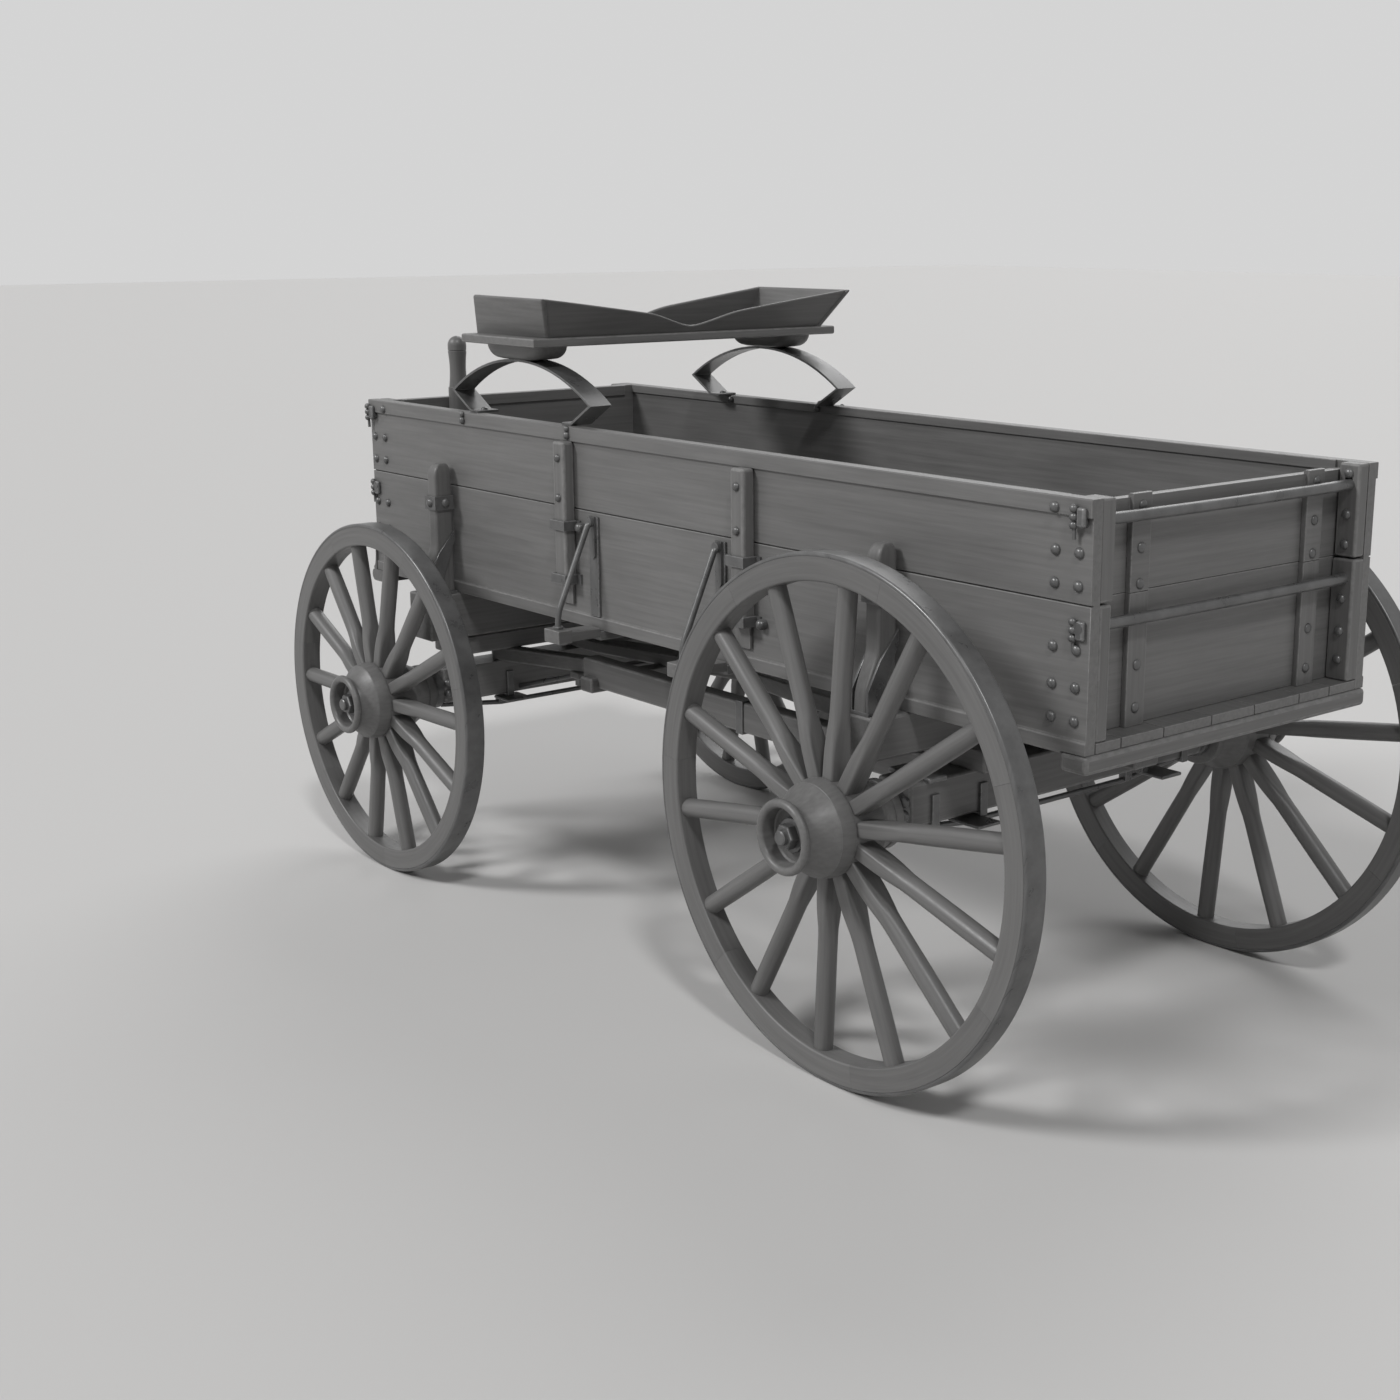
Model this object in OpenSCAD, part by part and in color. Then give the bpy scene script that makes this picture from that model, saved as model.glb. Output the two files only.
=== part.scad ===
// Farm wagon: two-tier box with sliding end gate and spring seat on a wooden running gear.
// X points forward, Y to the left, Z up. Places along X are measured from the rear axle.

/* [Wheels] */
// Radius of a rear wheel over its tyre
rear_wheel_r = 660; // [600:1:680]
// Radius of a front wheel over its tyre
front_wheel_r = 566; // [530:1:590]
// Distance from the rear axle to the front axle
wheelbase = 2214; // [2150:1:2280]
// Distance from the box side to the middle plane of a rim
wheel_room = 224.5; // [216:0.5:245]
// Width of the rim and tyre
rim_w = 65; // [45:1:70]
// Radial depth of the wooden felloes
felloe_d = 60; // [45:1:70]
// Thickness of the iron tyre
tyre_t = 10; // [6:1:14]
// Spokes on each wheel
spoke_count = 14; // [10:1:15]
// Width of a spoke at its foot, along the rim
spoke_foot_w = 31; // [26:1:38]
// Depth of a spoke at its foot, along the axle
spoke_foot_d = 48; // [40:1:54]
// Diameter of a spoke where it is round, out to the rim
spoke_tip_d = 49; // [42:1:52]
// Largest radius of the hub, where the spokes stand
hub_r = 120; // [112:1:130]
// Radius of the hub at its ends
hub_end_r = 88; // [80:1:96]
// Radius of the recess in the hub's outer end
hub_recess_r = 70; // [60:1:74]
// Depth of the recess in the hub's outer end
hub_recess_d = 45; // [30:1:60]
// Hub length from the rim's middle plane inwards
hub_in = 147; // [135:1:155]
// Rear hub length from the rim's middle plane outwards
rear_hub_out = 175; // [150:1:190]
// Front hub length from the rim's middle plane outwards
front_hub_out = 148; // [140:1:170]
// Radius of the skein arm that the hub turns on
arm_r = 35; // [28:1:40]

/* [Box] */
// Width of the box over its side boards
box_w = 1046; // [1000:1:1060]
// How far the box reaches behind the rear axle
box_overhang = 587; // [540:1:620]
// How far the box reaches ahead of the front axle
box_front_over = 408; // [380:1:440]
// Thickness of the side boards
side_t = 30; // [20:1:34]
// Thickness of the floor boards
floor_t = 30; // [24:1:36]
// Height of the lower tier of side boards
lower_h = 345; // [300:1:380]
// Height of the upper tier of side boards
upper_h = 236; // [200:1:280]
// Height of the rail along the top edge
rail_h = 41; // [30:1:50]
// How far rails and trim strips stand proud of the boards
trim_t = 8; // [5:1:12]
// Height of the trim strip along the bottom edge
trim_h = 38; // [30:1:50]
// Width of the corner cleats across the box
cleat_w = 40; // [28:1:46]
// Length of the outer corner cleats along the box
cleat_l = 62; // [50:1:66]
// Length of the inner corner cleats along the box
inner_cleat_l = 30; // [22:1:40]

/* [Gate] */
// Thickness of the end gate and front boards
gate_t = 25; // [18:1:30]
// Running clearance of the gate in its grooves
gate_clear = 5; // [5:0.5:7]
// Width of a gate batten
batten_w = 66; // [40:1:80]
// Thickness of a gate batten
batten_t = 16; // [12:1:18]
// Distance of the battens from the middle of the gate
batten_y = 325; // [240:1:360]
// Shift of both battens to the left of the gate's middle
batten_shift = -23; // [-30:1:30]
// Diameter of the end rods
rod_d = 22; // [14:1:24]
// Drop of the upper end rods below the box's top edge
upper_rod_drop = 41; // [34:1:60]
// Drop of the lower end rods below the joint of the two tiers
lower_rod_drop = 57; // [40:1:70]

/* [Posts and braces] */
// Distance of the side posts from the middle of the box
post_dx = 411; // [380:1:450]
// How much further from the middle the front posts stand
post_front_more = 12; // [0:1:20]
// Width of a side post
post_w = 57; // [45:1:65]
// Depth of a side post
post_d = 40; // [30:1:46]
// Height of a side post's foot above the box floor's underside
post_foot_h = 117; // [90:1:130]
// Distance of a brace from its post, towards the middle of the box
brace_in = 114; // [100:1:140]
// Width of a brace plate
brace_w = 45; // [36:1:52]
// Diameter of a brace rod
brace_d = 18; // [12:1:22]
// How far a middle sill's brace end sticks out past the box side
sill_out = 161; // [140:1:165]
// Width of a middle sill
sill_w = 76; // [60:1:90]
// Height of a middle sill
sill_h = 27; // [22:1:32]

/* [Seat] */
// Place of the seat's middle ahead of the box's middle
seat_dx = 707; // [650:1:740]
// How far the seat plank sticks out past each box side
plank_over = 55; // [30:1:80]
// Width of the seat plank along the wagon
plank_w = 399; // [360:1:430]
// Thickness of the seat plank
plank_t = 26; // [20:1:32]
// Height of the tray panels
tray_h = 116; // [90:1:140]
// Thickness of the tray panels
tray_t = 16; // [12:1:20]
// Rise of a seat spring's arch
spring_rise = 115; // [90:1:130]
// Half span of a seat spring
spring_half = 384; // [360:1:440]
// Distance of a spring foot from the seat's middle
spring_foot = 277; // [250:1:300]
// Height of the spring tips above the rail
spring_tip_h = 63; // [55:1:80]
// Width of the spring strap
spring_w = 75; // [50:1:90]
// Thickness of the spring strap
spring_t = 8; // [6:1:12]
// Distance of the springs' middle line in from the box's outer side
spring_in = 50; // [46:1:60]

/* [Running gear] */
// How far the bolsters stick out past the stakes' feet
bolster_lip = 3; // [0:1:10]
// Width of the front bolster along the wagon
bolster_w = 130; // [110:1:140]
// Width of the rear bolster along the wagon
rear_bolster_w = 120; // [110:1:130]
// Height of the rear bolster
rear_bolster_h = 109; // [100:1:115]
// Width of the axle beams along the wagon
axle_w = 122; // [110:1:130]
// Height of the axle beams
axle_h = 115; // [105:1:122]
// Distance of an axle beam's end from the rim's middle plane
axle_short = 190; // [185:0.5:250]
// Height of the sand bolster
sand_h = 60; // [50:1:65]
// How far the sand bolster's end lies in from the axle beam's end
sand_short = 27.5; // [0:0.5:60]
// Width of a hound
hound_w = 55; // [45:1:65]
// Thickness of the front hounds
hound_t = 48; // [42:1:54]
// Width of the reach
reach_w = 90; // [64:1:96]
// Thickness of the reach over the rear axle
reach_t = 59; // [50:1:68]
// How far the reach sticks out behind the rear axle
reach_tail = 330; // [250:1:400]
// Distance of the king bolt behind the front axle
king_back = 34; // [20:1:40]
// Radius of the king bolt
king_r = 12; // [10:1:14]
// How far the front hounds reach ahead of the front axle
hound_front = 626; // [600:1:660]
// Gap between the hounds' jaws
jaw_gap = 95; // [80:1:110]
// Radius of the draw pin hole in the jaws
draw_pin_r = 11; // [8:1:14]
// Width of a bolster stake along the wagon
stake_w = 50; // [40:1:58]
// Depth of a bolster stake across the wagon
stake_d = 60; // [44:1:66]
// Height of a bolster stake above its bolster
stake_h = 415; // [380:1:440]

/* [Hidden] */
$fn = 64;

// Clearances and overruns
cut_over = 2;
seat_clear = 0.3;
swivel_clear = 5;
board_gap = 4;
// Widths of the floor boards from the right side to the left
board_shares = [0.112, 0.126, 0.180, 0.165, 0.177, 0.151, 0.089];
edge_bevel = 3;
joint_groove_h = 3.5;
joint_groove_d = 8;
base_trim_t = 4;

wood = [0.40, 0.39, 0.37];
wood_dark = [0.33, 0.32, 0.31];
iron = [0.25, 0.25, 0.26];

// Heights up through the gear: each layer lies on the one below
axle_rise_share = 0.66;
rub_plate_t = 5;
rear_z = rear_wheel_r;
front_z = front_wheel_r;
rear_axle_top = rear_z + axle_h*axle_rise_share;
front_axle_top = front_z + axle_h*axle_rise_share;
rear_bolster_z = rear_axle_top + reach_t;
box_z = rear_bolster_z + rear_bolster_h;
front_hound_z = front_axle_top;
sand_z = front_hound_z + hound_t;
sand_top = sand_z + sand_h;
front_bolster_z = sand_top + seat_clear + rub_plate_t;
front_bolster_h = box_z - front_bolster_z;

// Box places
box_rear = -box_overhang;
box_front = wheelbase + box_front_over;
box_l = box_front - box_rear;
box_mid = box_rear + box_l/2;
half_w = box_w/2;
track = box_w + 2*wheel_room;
axle_l = track - 2*axle_short;
sand_l = axle_l - 2*sand_short;
plank_l = box_w + 2*plank_over;
spring_y = half_w - spring_in;
sill_reach = half_w + sill_out;
brace_dx = post_dx - brace_in;
inner_w = half_w - side_t;
floor_top = box_z + floor_t;
split_z = box_z + lower_h;
top_z = split_z + upper_h;
rod_clear_x = 9;
rod_head_share = 0.8;
gate_x = box_rear + cleat_l + gate_clear;
front_board_x = box_front - cleat_l - gate_t;
rod_x = gate_x - batten_t - rod_clear_x - rod_d/2;
front_rod_x = 2*box_mid - rod_x;
rod_zs = [split_z - lower_rod_drop, top_z - upper_rod_drop];
inner_lip_h = 27;
inner_lip_t = 6;
gate_top_drop = 18;
gate_rail_h = 36;
gate_rail_t = 7;

// Sills under the box
end_sill_w = 80;
end_sill_out = 7;
end_sill_drop = 40;
end_sill_rise = 5;
nose_t = 32;
nose_rise = 93;
nose_bead_r = 16;
sill_end_l = 46;
sill_end_rise = 18;
sill_end_lift = 6;
sill_arm_gap = 6;
sill_arm_rise = 9;
sill_arm_lift = 9;
sill_arm_in = 7;

// Side posts, straps and braces
post_top_z = top_z - rail_h;
post_foot_z = box_z + post_foot_h;
post_xs = [box_mid - post_dx, box_mid + post_dx + post_front_more];
strap_foot_in = 5;
strap_split_drop = 64;
strap_rises = [post_foot_h + strap_foot_in, lower_h - strap_split_drop];
strap_hs = [30, 30];
strap_t = 9;
strap_ear_l = 17;
strap_ear_t = 6;
brace_plate_t = 8;
brace_plate_top_gap = 13;
brace_strap_w = 26;
brace_strap_t = 5;
brace_strap_drop = 136;
brace_eye_r = 15;
brace_eye_t = 14;
brace_eye_drop = 30;
brace_eye_z = split_z - brace_eye_drop;
brace_bend_in = 24;
brace_bend_y = sill_reach - brace_bend_in;
brace_knuckle_d = brace_d + 2*seat_clear;
brace_bend_rise = 43;

// Rein post inside the front of the box
rein_y = 258;
rein_r = 31;
rein_base_r = 34;
rein_base_rise = 35;
rein_neck_r = 27;
rein_rise = 173;
rein_knob_rise = 156;
rein_steps = 6;

// Seat stack
seat_x = box_mid + seat_dx;
spring_tip_z = top_z + spring_tip_h;
spring_top_z = spring_tip_z + spring_rise;
block_h = 44;
block_l = 265;
block_w = 125;
block_end_run = 62;
block_steps = 8;
block_seat = 4;
plank_z = spring_top_z + block_h;
tray_z = plank_z + plank_t;
tray_in = 48;
tray_rear_flare = 62;
tray_front_flare = 28;
tray_rear_in = 12.5;
tray_rear_lean = 75;
tray_front_in = 13.5;
tray_front_lean = 30;
tray_half_bottom = plank_l/2 - tray_in;
tray_rear_half = tray_half_bottom + tray_rear_flare;
tray_front_half = tray_half_bottom + tray_front_flare;
tray_rear_bottom = -plank_w/2 + tray_rear_in;
tray_rear_top = tray_rear_bottom - tray_rear_lean;
tray_front_bottom = plank_w/2 - tray_front_in;
tray_front_top = tray_front_bottom - tray_front_lean;
tray_dip_share = 0.667;
tray_notch_share = 0.178;
tray_notch_l_share = 0.34;
tray_dip_steps = 16;
spring_outer_r = (spring_half*spring_half + spring_rise*spring_rise)/(2*spring_rise);
spring_foot_l = 44;
spring_steps = 12;

// Places along the gear
rub_plate_r = 62;
sand_w = 150;
rear_bolster_x = 45;
king_x = wheelbase - king_back;
bolster_back = 30;
front_bolster_x = king_x - bolster_back;

// Reach: its side outline runs level over the rear axle and level again at the king bolt
reach_front_clear = 5;
reach_rear_z = rear_axle_top;
reach_rear_t = reach_t;
reach_front_z = front_axle_top + reach_front_clear;
reach_front_t = hound_t - 2*reach_front_clear;
reach_level_rear = 240;
reach_level_run = 150;
reach_level_front = king_x - reach_level_run;
reach_nose = 60;
reach_hole_r = 12;
reach_hole_in = 60;
rear_hound_spread = 300;
rear_hound_meet = 1180;
rear_hound_tail = 110;
rear_hound_lap = 260;

// Front hounds in plan
hound_spread = 330;
hound_back = 360;
hound_rear_x = king_x - hound_back;
hound_rear_spread = 208;
jaw_start = 400;
jaw_back = 50;
sway_w = 50;
sway_t = 22;
sway_over = 20;
hound_brace_y = 270;
hound_brace_rise = 14;

// Skeins, nuts, clips and truss rods
skein_root_r = 56;
skein_neck_r = 44;
collar_r = 62;
collar_t = 14;
thread_r = 19;
nut_r = 32;
nut_t = 24;
washer_r = 42;
washer_t = 6;
bolt_stub = 12;
clip_t = 8;
clip_w = 26;
clip_end_in = 80;
clip_in_y = 310;
clip_ys = [clip_in_y, axle_l/2 - clip_end_in];
truss_d = 16;
truss_drop = 26;
truss_y = clip_in_y;
truss_end_in = 20;
truss_end_y = axle_l/2 - truss_end_in;
clip_rise_share = 0.67;

// Stakes
front_stake_back = 30;
stake_xs = [rear_bolster_x, front_bolster_x - front_stake_back];
stake_clear = 3;
stake_y = half_w + trim_t + stake_clear;
stake_out_y = stake_y + stake_d;
stake_foot_out = 40;
stake_foot_h = 160;
stake_round_share = 0.48;
stake_round = min(stake_w, stake_d)*stake_round_share;
stake_round_steps = 6;
stake_plate_t = 8;
stake_plate_out = 9;
bolster_l = 2*(stake_out_y + stake_foot_out + bolster_lip);
stake_strap_w = 34;
stake_strap_t = 7;
stake_strap_top = 205;
stake_strap_low = 60;
stake_band_rise = 270;
stake_band_z = box_z + stake_band_rise;
stake_foot_share = 0.33;
stake_band_h = 44;
stake_band_t = 7;

// Wheel places and details
rim_in_r = felloe_d + tyre_t;
hub_flat = 60;
hub_shoulder = 24;
hub_band_w = 14;
hub_band_t = 4;
hub_lip_l = 26;
hub_ring_r = 9;
hub_neck_r = 80;
hub_bell_power = 1.5;
hub_steps = 8;
spoke_foot_share = 0.3;
spoke_round_share = 0.45;
rear_spoke_turn = -4;
front_spoke_turn = -12;
tyre_bevel = 4;

// The outermost points along X set the middle of the part
part_rear = -rear_wheel_r;
part_front = wheelbase + hound_front;
part_mid = (part_rear + part_front)/2;

module placed() { translate([-part_mid, 0, 0]) children(); }

module both_sides() {
    children();
    mirror([0, 1, 0]) children();
}

// Outline drawn in Y and Z, run along X
module along_x(x0, x1) {
    translate([x0, 0, 0]) rotate([90, 0, 90]) linear_extrude(x1 - x0) children();
}

// Outline drawn in X and Z, run along Y from -half to half
module along_y(half) {
    translate([0, half, 0]) rotate([90, 0, 0]) linear_extrude(2*half) children();
}

module block(lo, hi) { translate(lo) cube(hi - lo); }

module rod(a, b, d) {
    v = b - a;
    l = norm(v);
    translate(a) rotate([0, acos(v[2]/l), atan2(v[1], v[0])]) cylinder(d = d, h = l);
}

// Room for the sills that cross under both box ends
module end_sill_room() {
    block([box_rear - cut_over, -box_w, box_z - cut_over],
          [box_rear + end_sill_w - end_sill_out, box_w, box_z + end_sill_rise]);
    block([box_front - end_sill_w + nose_t, -box_w, box_z - cut_over],
          [box_front + cut_over, box_w, box_z + end_sill_rise]);
}

module rod_holes() {
    for (x = [rod_x, front_rod_x], z = rod_zs)
        translate([x, -box_w, z]) rotate([-90, 0, 0])
            cylinder(d = rod_d + 2*seat_clear, h = 2*box_w);
}

// Sum of the first shares of a list
function share_to(shares, count) = count == 0 ? 0 : shares[count - 1] + share_to(shares, count - 1);

module floor_boards() {
    edges = [for (i = [0:len(board_shares)]) inner_w*(2*share_to(board_shares, i) - 1)];
    color(wood) difference() {
        for (i = [0:len(board_shares) - 1])
            block([box_rear, edges[i] + board_gap/2, box_z], [box_front, edges[i + 1] - board_gap/2, floor_top]);
        end_sill_room();
    }
}

module rear_sill() {
    color(wood_dark)
        block([box_rear - end_sill_out, -half_w - end_sill_out, box_z - end_sill_drop],
              [box_rear + end_sill_w - end_sill_out, half_w + end_sill_out, box_z + end_sill_rise]);
}

// Bars under the floor; outside the box each goes on as a slimmer arm to a brace end
module middle_sills() {
    arm_y = half_w + trim_t + sill_arm_gap;
    color(wood_dark) for (x = [box_mid - brace_dx, box_mid + brace_dx]) {
        block([x - sill_w/2, -arm_y, box_z - sill_h], [x + sill_w/2, arm_y, box_z]);
        both_sides() {
            block([x - sill_w/2 + sill_arm_in, arm_y, box_z - sill_h + sill_arm_lift],
                  [x + sill_w/2 - sill_arm_in, sill_reach, box_z + sill_arm_rise]);
            block([x - sill_w/2, sill_reach - sill_end_l, box_z - sill_h + sill_end_lift],
                  [x + sill_w/2, sill_reach, box_z + sill_end_rise]);
        }
    }
}

// Moulded cross piece under and in front of the box's front end
module front_nose() {
    back = box_front - end_sill_w + nose_t;
    front = box_front + nose_t;
    low = box_z - end_sill_drop + sill_end_lift;
    high = box_z + nose_rise;
    color(wood_dark) {
        block([back, -half_w - end_sill_out, low],
              [front, half_w + end_sill_out, box_z + end_sill_rise]);
        along_y(half_w + end_sill_out) polygon([
            [box_front, box_z], [front, box_z],
            [front, high - 3*nose_bead_r], [front - nose_bead_r, high - 2*nose_bead_r],
            [front - nose_bead_r, high], [box_front, high]]);
        translate([front - nose_bead_r, -half_w - end_sill_out, box_z + end_sill_rise + nose_bead_r])
            rotate([-90, 0, 0]) cylinder(r = nose_bead_r, h = box_w + 2*end_sill_out);
    }
}

module side_lower() {
    color(wood) difference() {
        along_x(box_rear, box_front) polygon([
            [inner_w, box_z], [half_w + base_trim_t, box_z],
            [half_w + base_trim_t, box_z + trim_h - base_trim_t], [half_w, box_z + trim_h],
            [half_w, split_z - joint_groove_h/2], [half_w - joint_groove_d, split_z - joint_groove_h/2],
            [half_w - joint_groove_d, split_z], [inner_w, split_z]]);
        end_sill_room();
        rod_holes();
    }
}

module side_upper() {
    color(wood) difference() {
        along_x(box_rear, box_front) polygon([
            [inner_w, split_z], [half_w - joint_groove_d, split_z],
            [half_w - joint_groove_d, split_z + joint_groove_h/2], [half_w, split_z + joint_groove_h/2],
            [half_w, top_z - rail_h], [half_w + trim_t, top_z - rail_h],
            [half_w + trim_t, top_z - edge_bevel], [half_w + trim_t - edge_bevel, top_z],
            [inner_w, top_z]]);
        rod_holes();
    }
}

// Strips along the inside of the top edges, from the inner rear cleats to the front boards
module inner_rails() {
    rear = gate_x + gate_t + gate_clear;
    near = inner_w - seat_clear;
    color(wood) both_sides() block([rear, near - inner_lip_t, top_z - inner_lip_h],
                                   [front_board_x - seat_clear, near, top_z]);
}

// Board that closes the top of the front end, with a rail along its inner edge
module front_board_upper() {
    rail_half = inner_w - cleat_w - seat_clear;
    front_board(split_z, top_z);
    color(wood) block([front_board_x - gate_rail_t, -rail_half, top_z - gate_rail_h],
                      [front_board_x, rail_half, top_z]);
}

// Boards that close the front end, against the corner cleats
module front_board(z0, z1) {
    color(wood) block([front_board_x, -inner_w + seat_clear, z0],
                      [front_board_x + gate_t, inner_w - seat_clear, z1]);
}

// Cleats at the corners, one set for each tier: outside both ends, and inside the gate
module corner_cleats() {
    inner_x = gate_x + gate_t + gate_clear;
    outer_runs = [[box_rear, box_rear + cleat_l], [front_board_x + gate_t, box_front]];
    inner_runs = [[inner_x, inner_x + inner_cleat_l]];
    color(wood_dark) difference() {
        union() {
            cleat_tiers(outer_runs, top_z);
            cleat_tiers(inner_runs, top_z - inner_lip_h);
        }
        rod_holes();
    }
}

// Two tiers of cleats over those runs of the box's length
module cleat_tiers(runs, top) {
    tiers = [[floor_top, split_z - board_gap/2], [split_z + board_gap/2, top]];
    for (t = tiers, r = runs)
        both_sides() block([r[0], inner_w - cleat_w, t[0]], [r[1], inner_w, t[1]]);
}

// Iron rods that tie the sides together across both ends, with a head and a nut
module end_rods() {
    head_t = rod_d/2;
    head_r = rod_d*rod_head_share;
    color(iron) for (x = [rod_x, front_rod_x], z = rod_zs)
        translate([x, 0, z]) rotate([-90, 0, 0]) {
            translate([0, 0, -half_w - trim_t - head_t]) cylinder(d = rod_d, h = box_w + 2*(trim_t + head_t));
            both_rod_ends(head_r, head_t);
        }
}

module both_rod_ends(r, t) {
    for (s = [-1, 1]) translate([0, 0, s*(half_w + trim_t + t/2) - t/2]) cylinder(r = r, h = t, $fn = 6);
}

module gate_panel(z0, z1, batten_z0, batten_z1) {
    color(wood) {
        block([gate_x, -inner_w + gate_clear, z0], [gate_x + gate_t, inner_w - gate_clear, z1]);
        for (y = [batten_shift - batten_y, batten_shift + batten_y])
            block([gate_x - batten_t, y - batten_w/2, batten_z0],
                  [gate_x - seat_clear, y + batten_w/2, batten_z1]);
    }
}

module gate_lower() {
    gate_panel(floor_top + seat_clear, split_z, floor_top + seat_clear, split_z);
}

module gate_upper() {
    top = top_z - gate_top_drop;
    rail_half = inner_w - cleat_w - gate_clear;
    gate_panel(split_z + seat_clear, top, split_z + seat_clear, top_z - gate_top_drop/2);
    color(wood) block([gate_x - gate_rail_t, -rail_half, top - gate_rail_h],
                      [gate_x - seat_clear, rail_half, top]);
}

module side_posts() {
    color(wood) both_sides() for (x = post_xs)
        block([x - post_w/2, half_w, post_foot_z], [x + post_w/2, half_w + post_d, post_top_z]);
}

// Iron straps bent round the posts, with ears against the side boards
module post_straps() {
    out_w = post_w/2 + strap_t;
    ear_w = out_w + strap_ear_l;
    out_y = half_w + post_d + strap_t;
    color(iron) both_sides()
        for (x = post_xs, i = [0:1])
            translate([x, 0, box_z + strap_rises[i]]) linear_extrude(strap_hs[i]) polygon([
                [-ear_w, half_w], [-post_w/2 - seat_clear, half_w],
                [-post_w/2 - seat_clear, out_y - strap_t + seat_clear],
                [post_w/2 + seat_clear, out_y - strap_t + seat_clear],
                [post_w/2 + seat_clear, half_w], [ear_w, half_w],
                [ear_w, half_w + strap_ear_t], [out_w, half_w + strap_ear_t],
                [out_w, out_y], [-out_w, out_y],
                [-out_w, half_w + strap_ear_t], [-ear_w, half_w + strap_ear_t]]);
}

// Upright plates behind the braces, each with a strap on it that ends in a half round
module brace_plates() {
    strap_r = brace_strap_w/2;
    strap_out = brace_plate_t + brace_strap_t;
    strap_low = split_z - brace_strap_drop + strap_r;
    color(iron) both_sides() for (x = [box_mid - brace_dx, box_mid + brace_dx]) {
        block([x - brace_w/2, half_w, box_z + trim_h],
              [x + brace_w/2, half_w + brace_plate_t, split_z - brace_plate_top_gap]);
        block([x - strap_r, half_w, strap_low],
              [x + strap_r, half_w + strap_out, split_z - brace_plate_top_gap]);
        translate([x, half_w, strap_low]) rotate([-90, 0, 0]) cylinder(r = strap_r, h = strap_out);
    }
}

// Rods from an eye high on the box side, out and down to the end of a middle sill
module brace_rods() {
    eye_y = half_w + brace_plate_t + brace_strap_t;
    foot_z = box_z + sill_end_rise;
    bend_z = foot_z + brace_bend_rise;
    color(iron) both_sides() for (x = [box_mid - brace_dx, box_mid + brace_dx]) {
        translate([x, eye_y, brace_eye_z]) rotate([-90, 0, 0]) cylinder(r = brace_eye_r, h = brace_eye_t);
        rod([x, eye_y + brace_eye_t - brace_d/4, brace_eye_z], [x, brace_bend_y, bend_z], brace_d);
        translate([x, brace_bend_y, bend_z]) sphere(d = brace_knuckle_d);
        translate([x, brace_bend_y, foot_z]) cylinder(d = brace_d, h = brace_bend_rise);
    }
}

// Turned post for the reins, standing on the floor by the front boards
module rein_post() {
    base_z = top_z + rein_base_rise;
    neck_z = top_z + rein_knob_rise;
    end_z = top_z + rein_rise;
    dome = [for (i = [0:rein_steps]) [rein_r*cos(90*i/rein_steps), end_z + rein_r*sin(90*i/rein_steps)]];
    color(wood_dark)
        translate([front_board_x - gate_rail_t - seat_clear - rein_base_r, rein_y, 0]) rotate_extrude()
            polygon(concat(
                [[0, floor_top], [rein_base_r, floor_top], [rein_base_r, base_z], [rein_r, base_z],
                 [rein_neck_r, (base_z + neck_z)/2], [rein_r, neck_z]],
                [for (i = [0:rein_steps - 1]) dome[i]], [[0, end_z + rein_r]]));
}

module seat_plank() {
    color(wood) block([seat_x - plank_w/2, -plank_l/2, plank_z], [seat_x + plank_w/2, plank_l/2, tray_z]);
}

// Four-sided pyramid stump between the tray's foot and its top, drawn in by inset
module tray_stump(inset, z0, z1) {
    rise = tray_h;
    function at(bottom, top, z) = bottom + (top - bottom)*z/rise;
    corners = [for (z = [z0, z1], c = [[-1, -1], [1, -1], [1, 1], [-1, 1]]) [
        c[0] < 0 ? at(tray_rear_bottom, tray_rear_top, z) + inset
                 : at(tray_front_bottom, tray_front_top, z) - inset,
        c[1]*(at(tray_half_bottom, c[0] < 0 ? tray_rear_half : tray_front_half, z) - inset), z]];
    polyhedron(corners, [[0, 1, 2, 3], [7, 6, 5, 4], [0, 4, 5, 1], [1, 5, 6, 2], [2, 6, 7, 3], [3, 7, 4, 0]]);
}

// Flared tray on the plank, its front and back panels dipping towards the middle
module seat_tray() {
    function notch(t) = (1 + cos(180*min(1, t/tray_notch_l_share)))/2;
    function top_at(t) = tray_h*(1 - tray_dip_share*(1 - t) - tray_notch_share*notch(t));
    steps = [for (i = [-tray_dip_steps:tray_dip_steps]) i/tray_dip_steps];
    dip_half = tray_half_bottom - 2*tray_t;
    color(wood) translate([seat_x, 0, tray_z]) difference() {
        tray_stump(0, 0, tray_h);
        tray_stump(tray_t, -cut_over, tray_h + cut_over);
        along_x(-plank_w, plank_w) polygon(concat(
            [[-dip_half, tray_h + cut_over]],
            [for (s = steps) [s*dip_half, top_at(abs(s))]],
            [[dip_half, tray_h + cut_over]]));
    }
}

// Wooden blocks between the springs and the plank, their ends curved up like a boat's
module spring_blocks() {
    rise = block_h + block_seat;
    foot = block_l/2 - block_end_run;
    end = [for (i = [0:block_steps]) let (a = 90*i/block_steps)
        [foot + block_end_run*sin(a), plank_z - rise*cos(a)]];
    color(wood_dark) both_sides() translate([seat_x, spring_y, 0]) difference() {
        along_y(block_w/2) polygon(concat(end, [for (i = [block_steps:-1:0]) [-end[i][0], end[i][1]]]));
        translate([0, -block_w, spring_top_z - spring_outer_r]) rotate([-90, 0, 0])
            cylinder(r = spring_outer_r + seat_clear, h = 2*block_w);
    }
}

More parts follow.
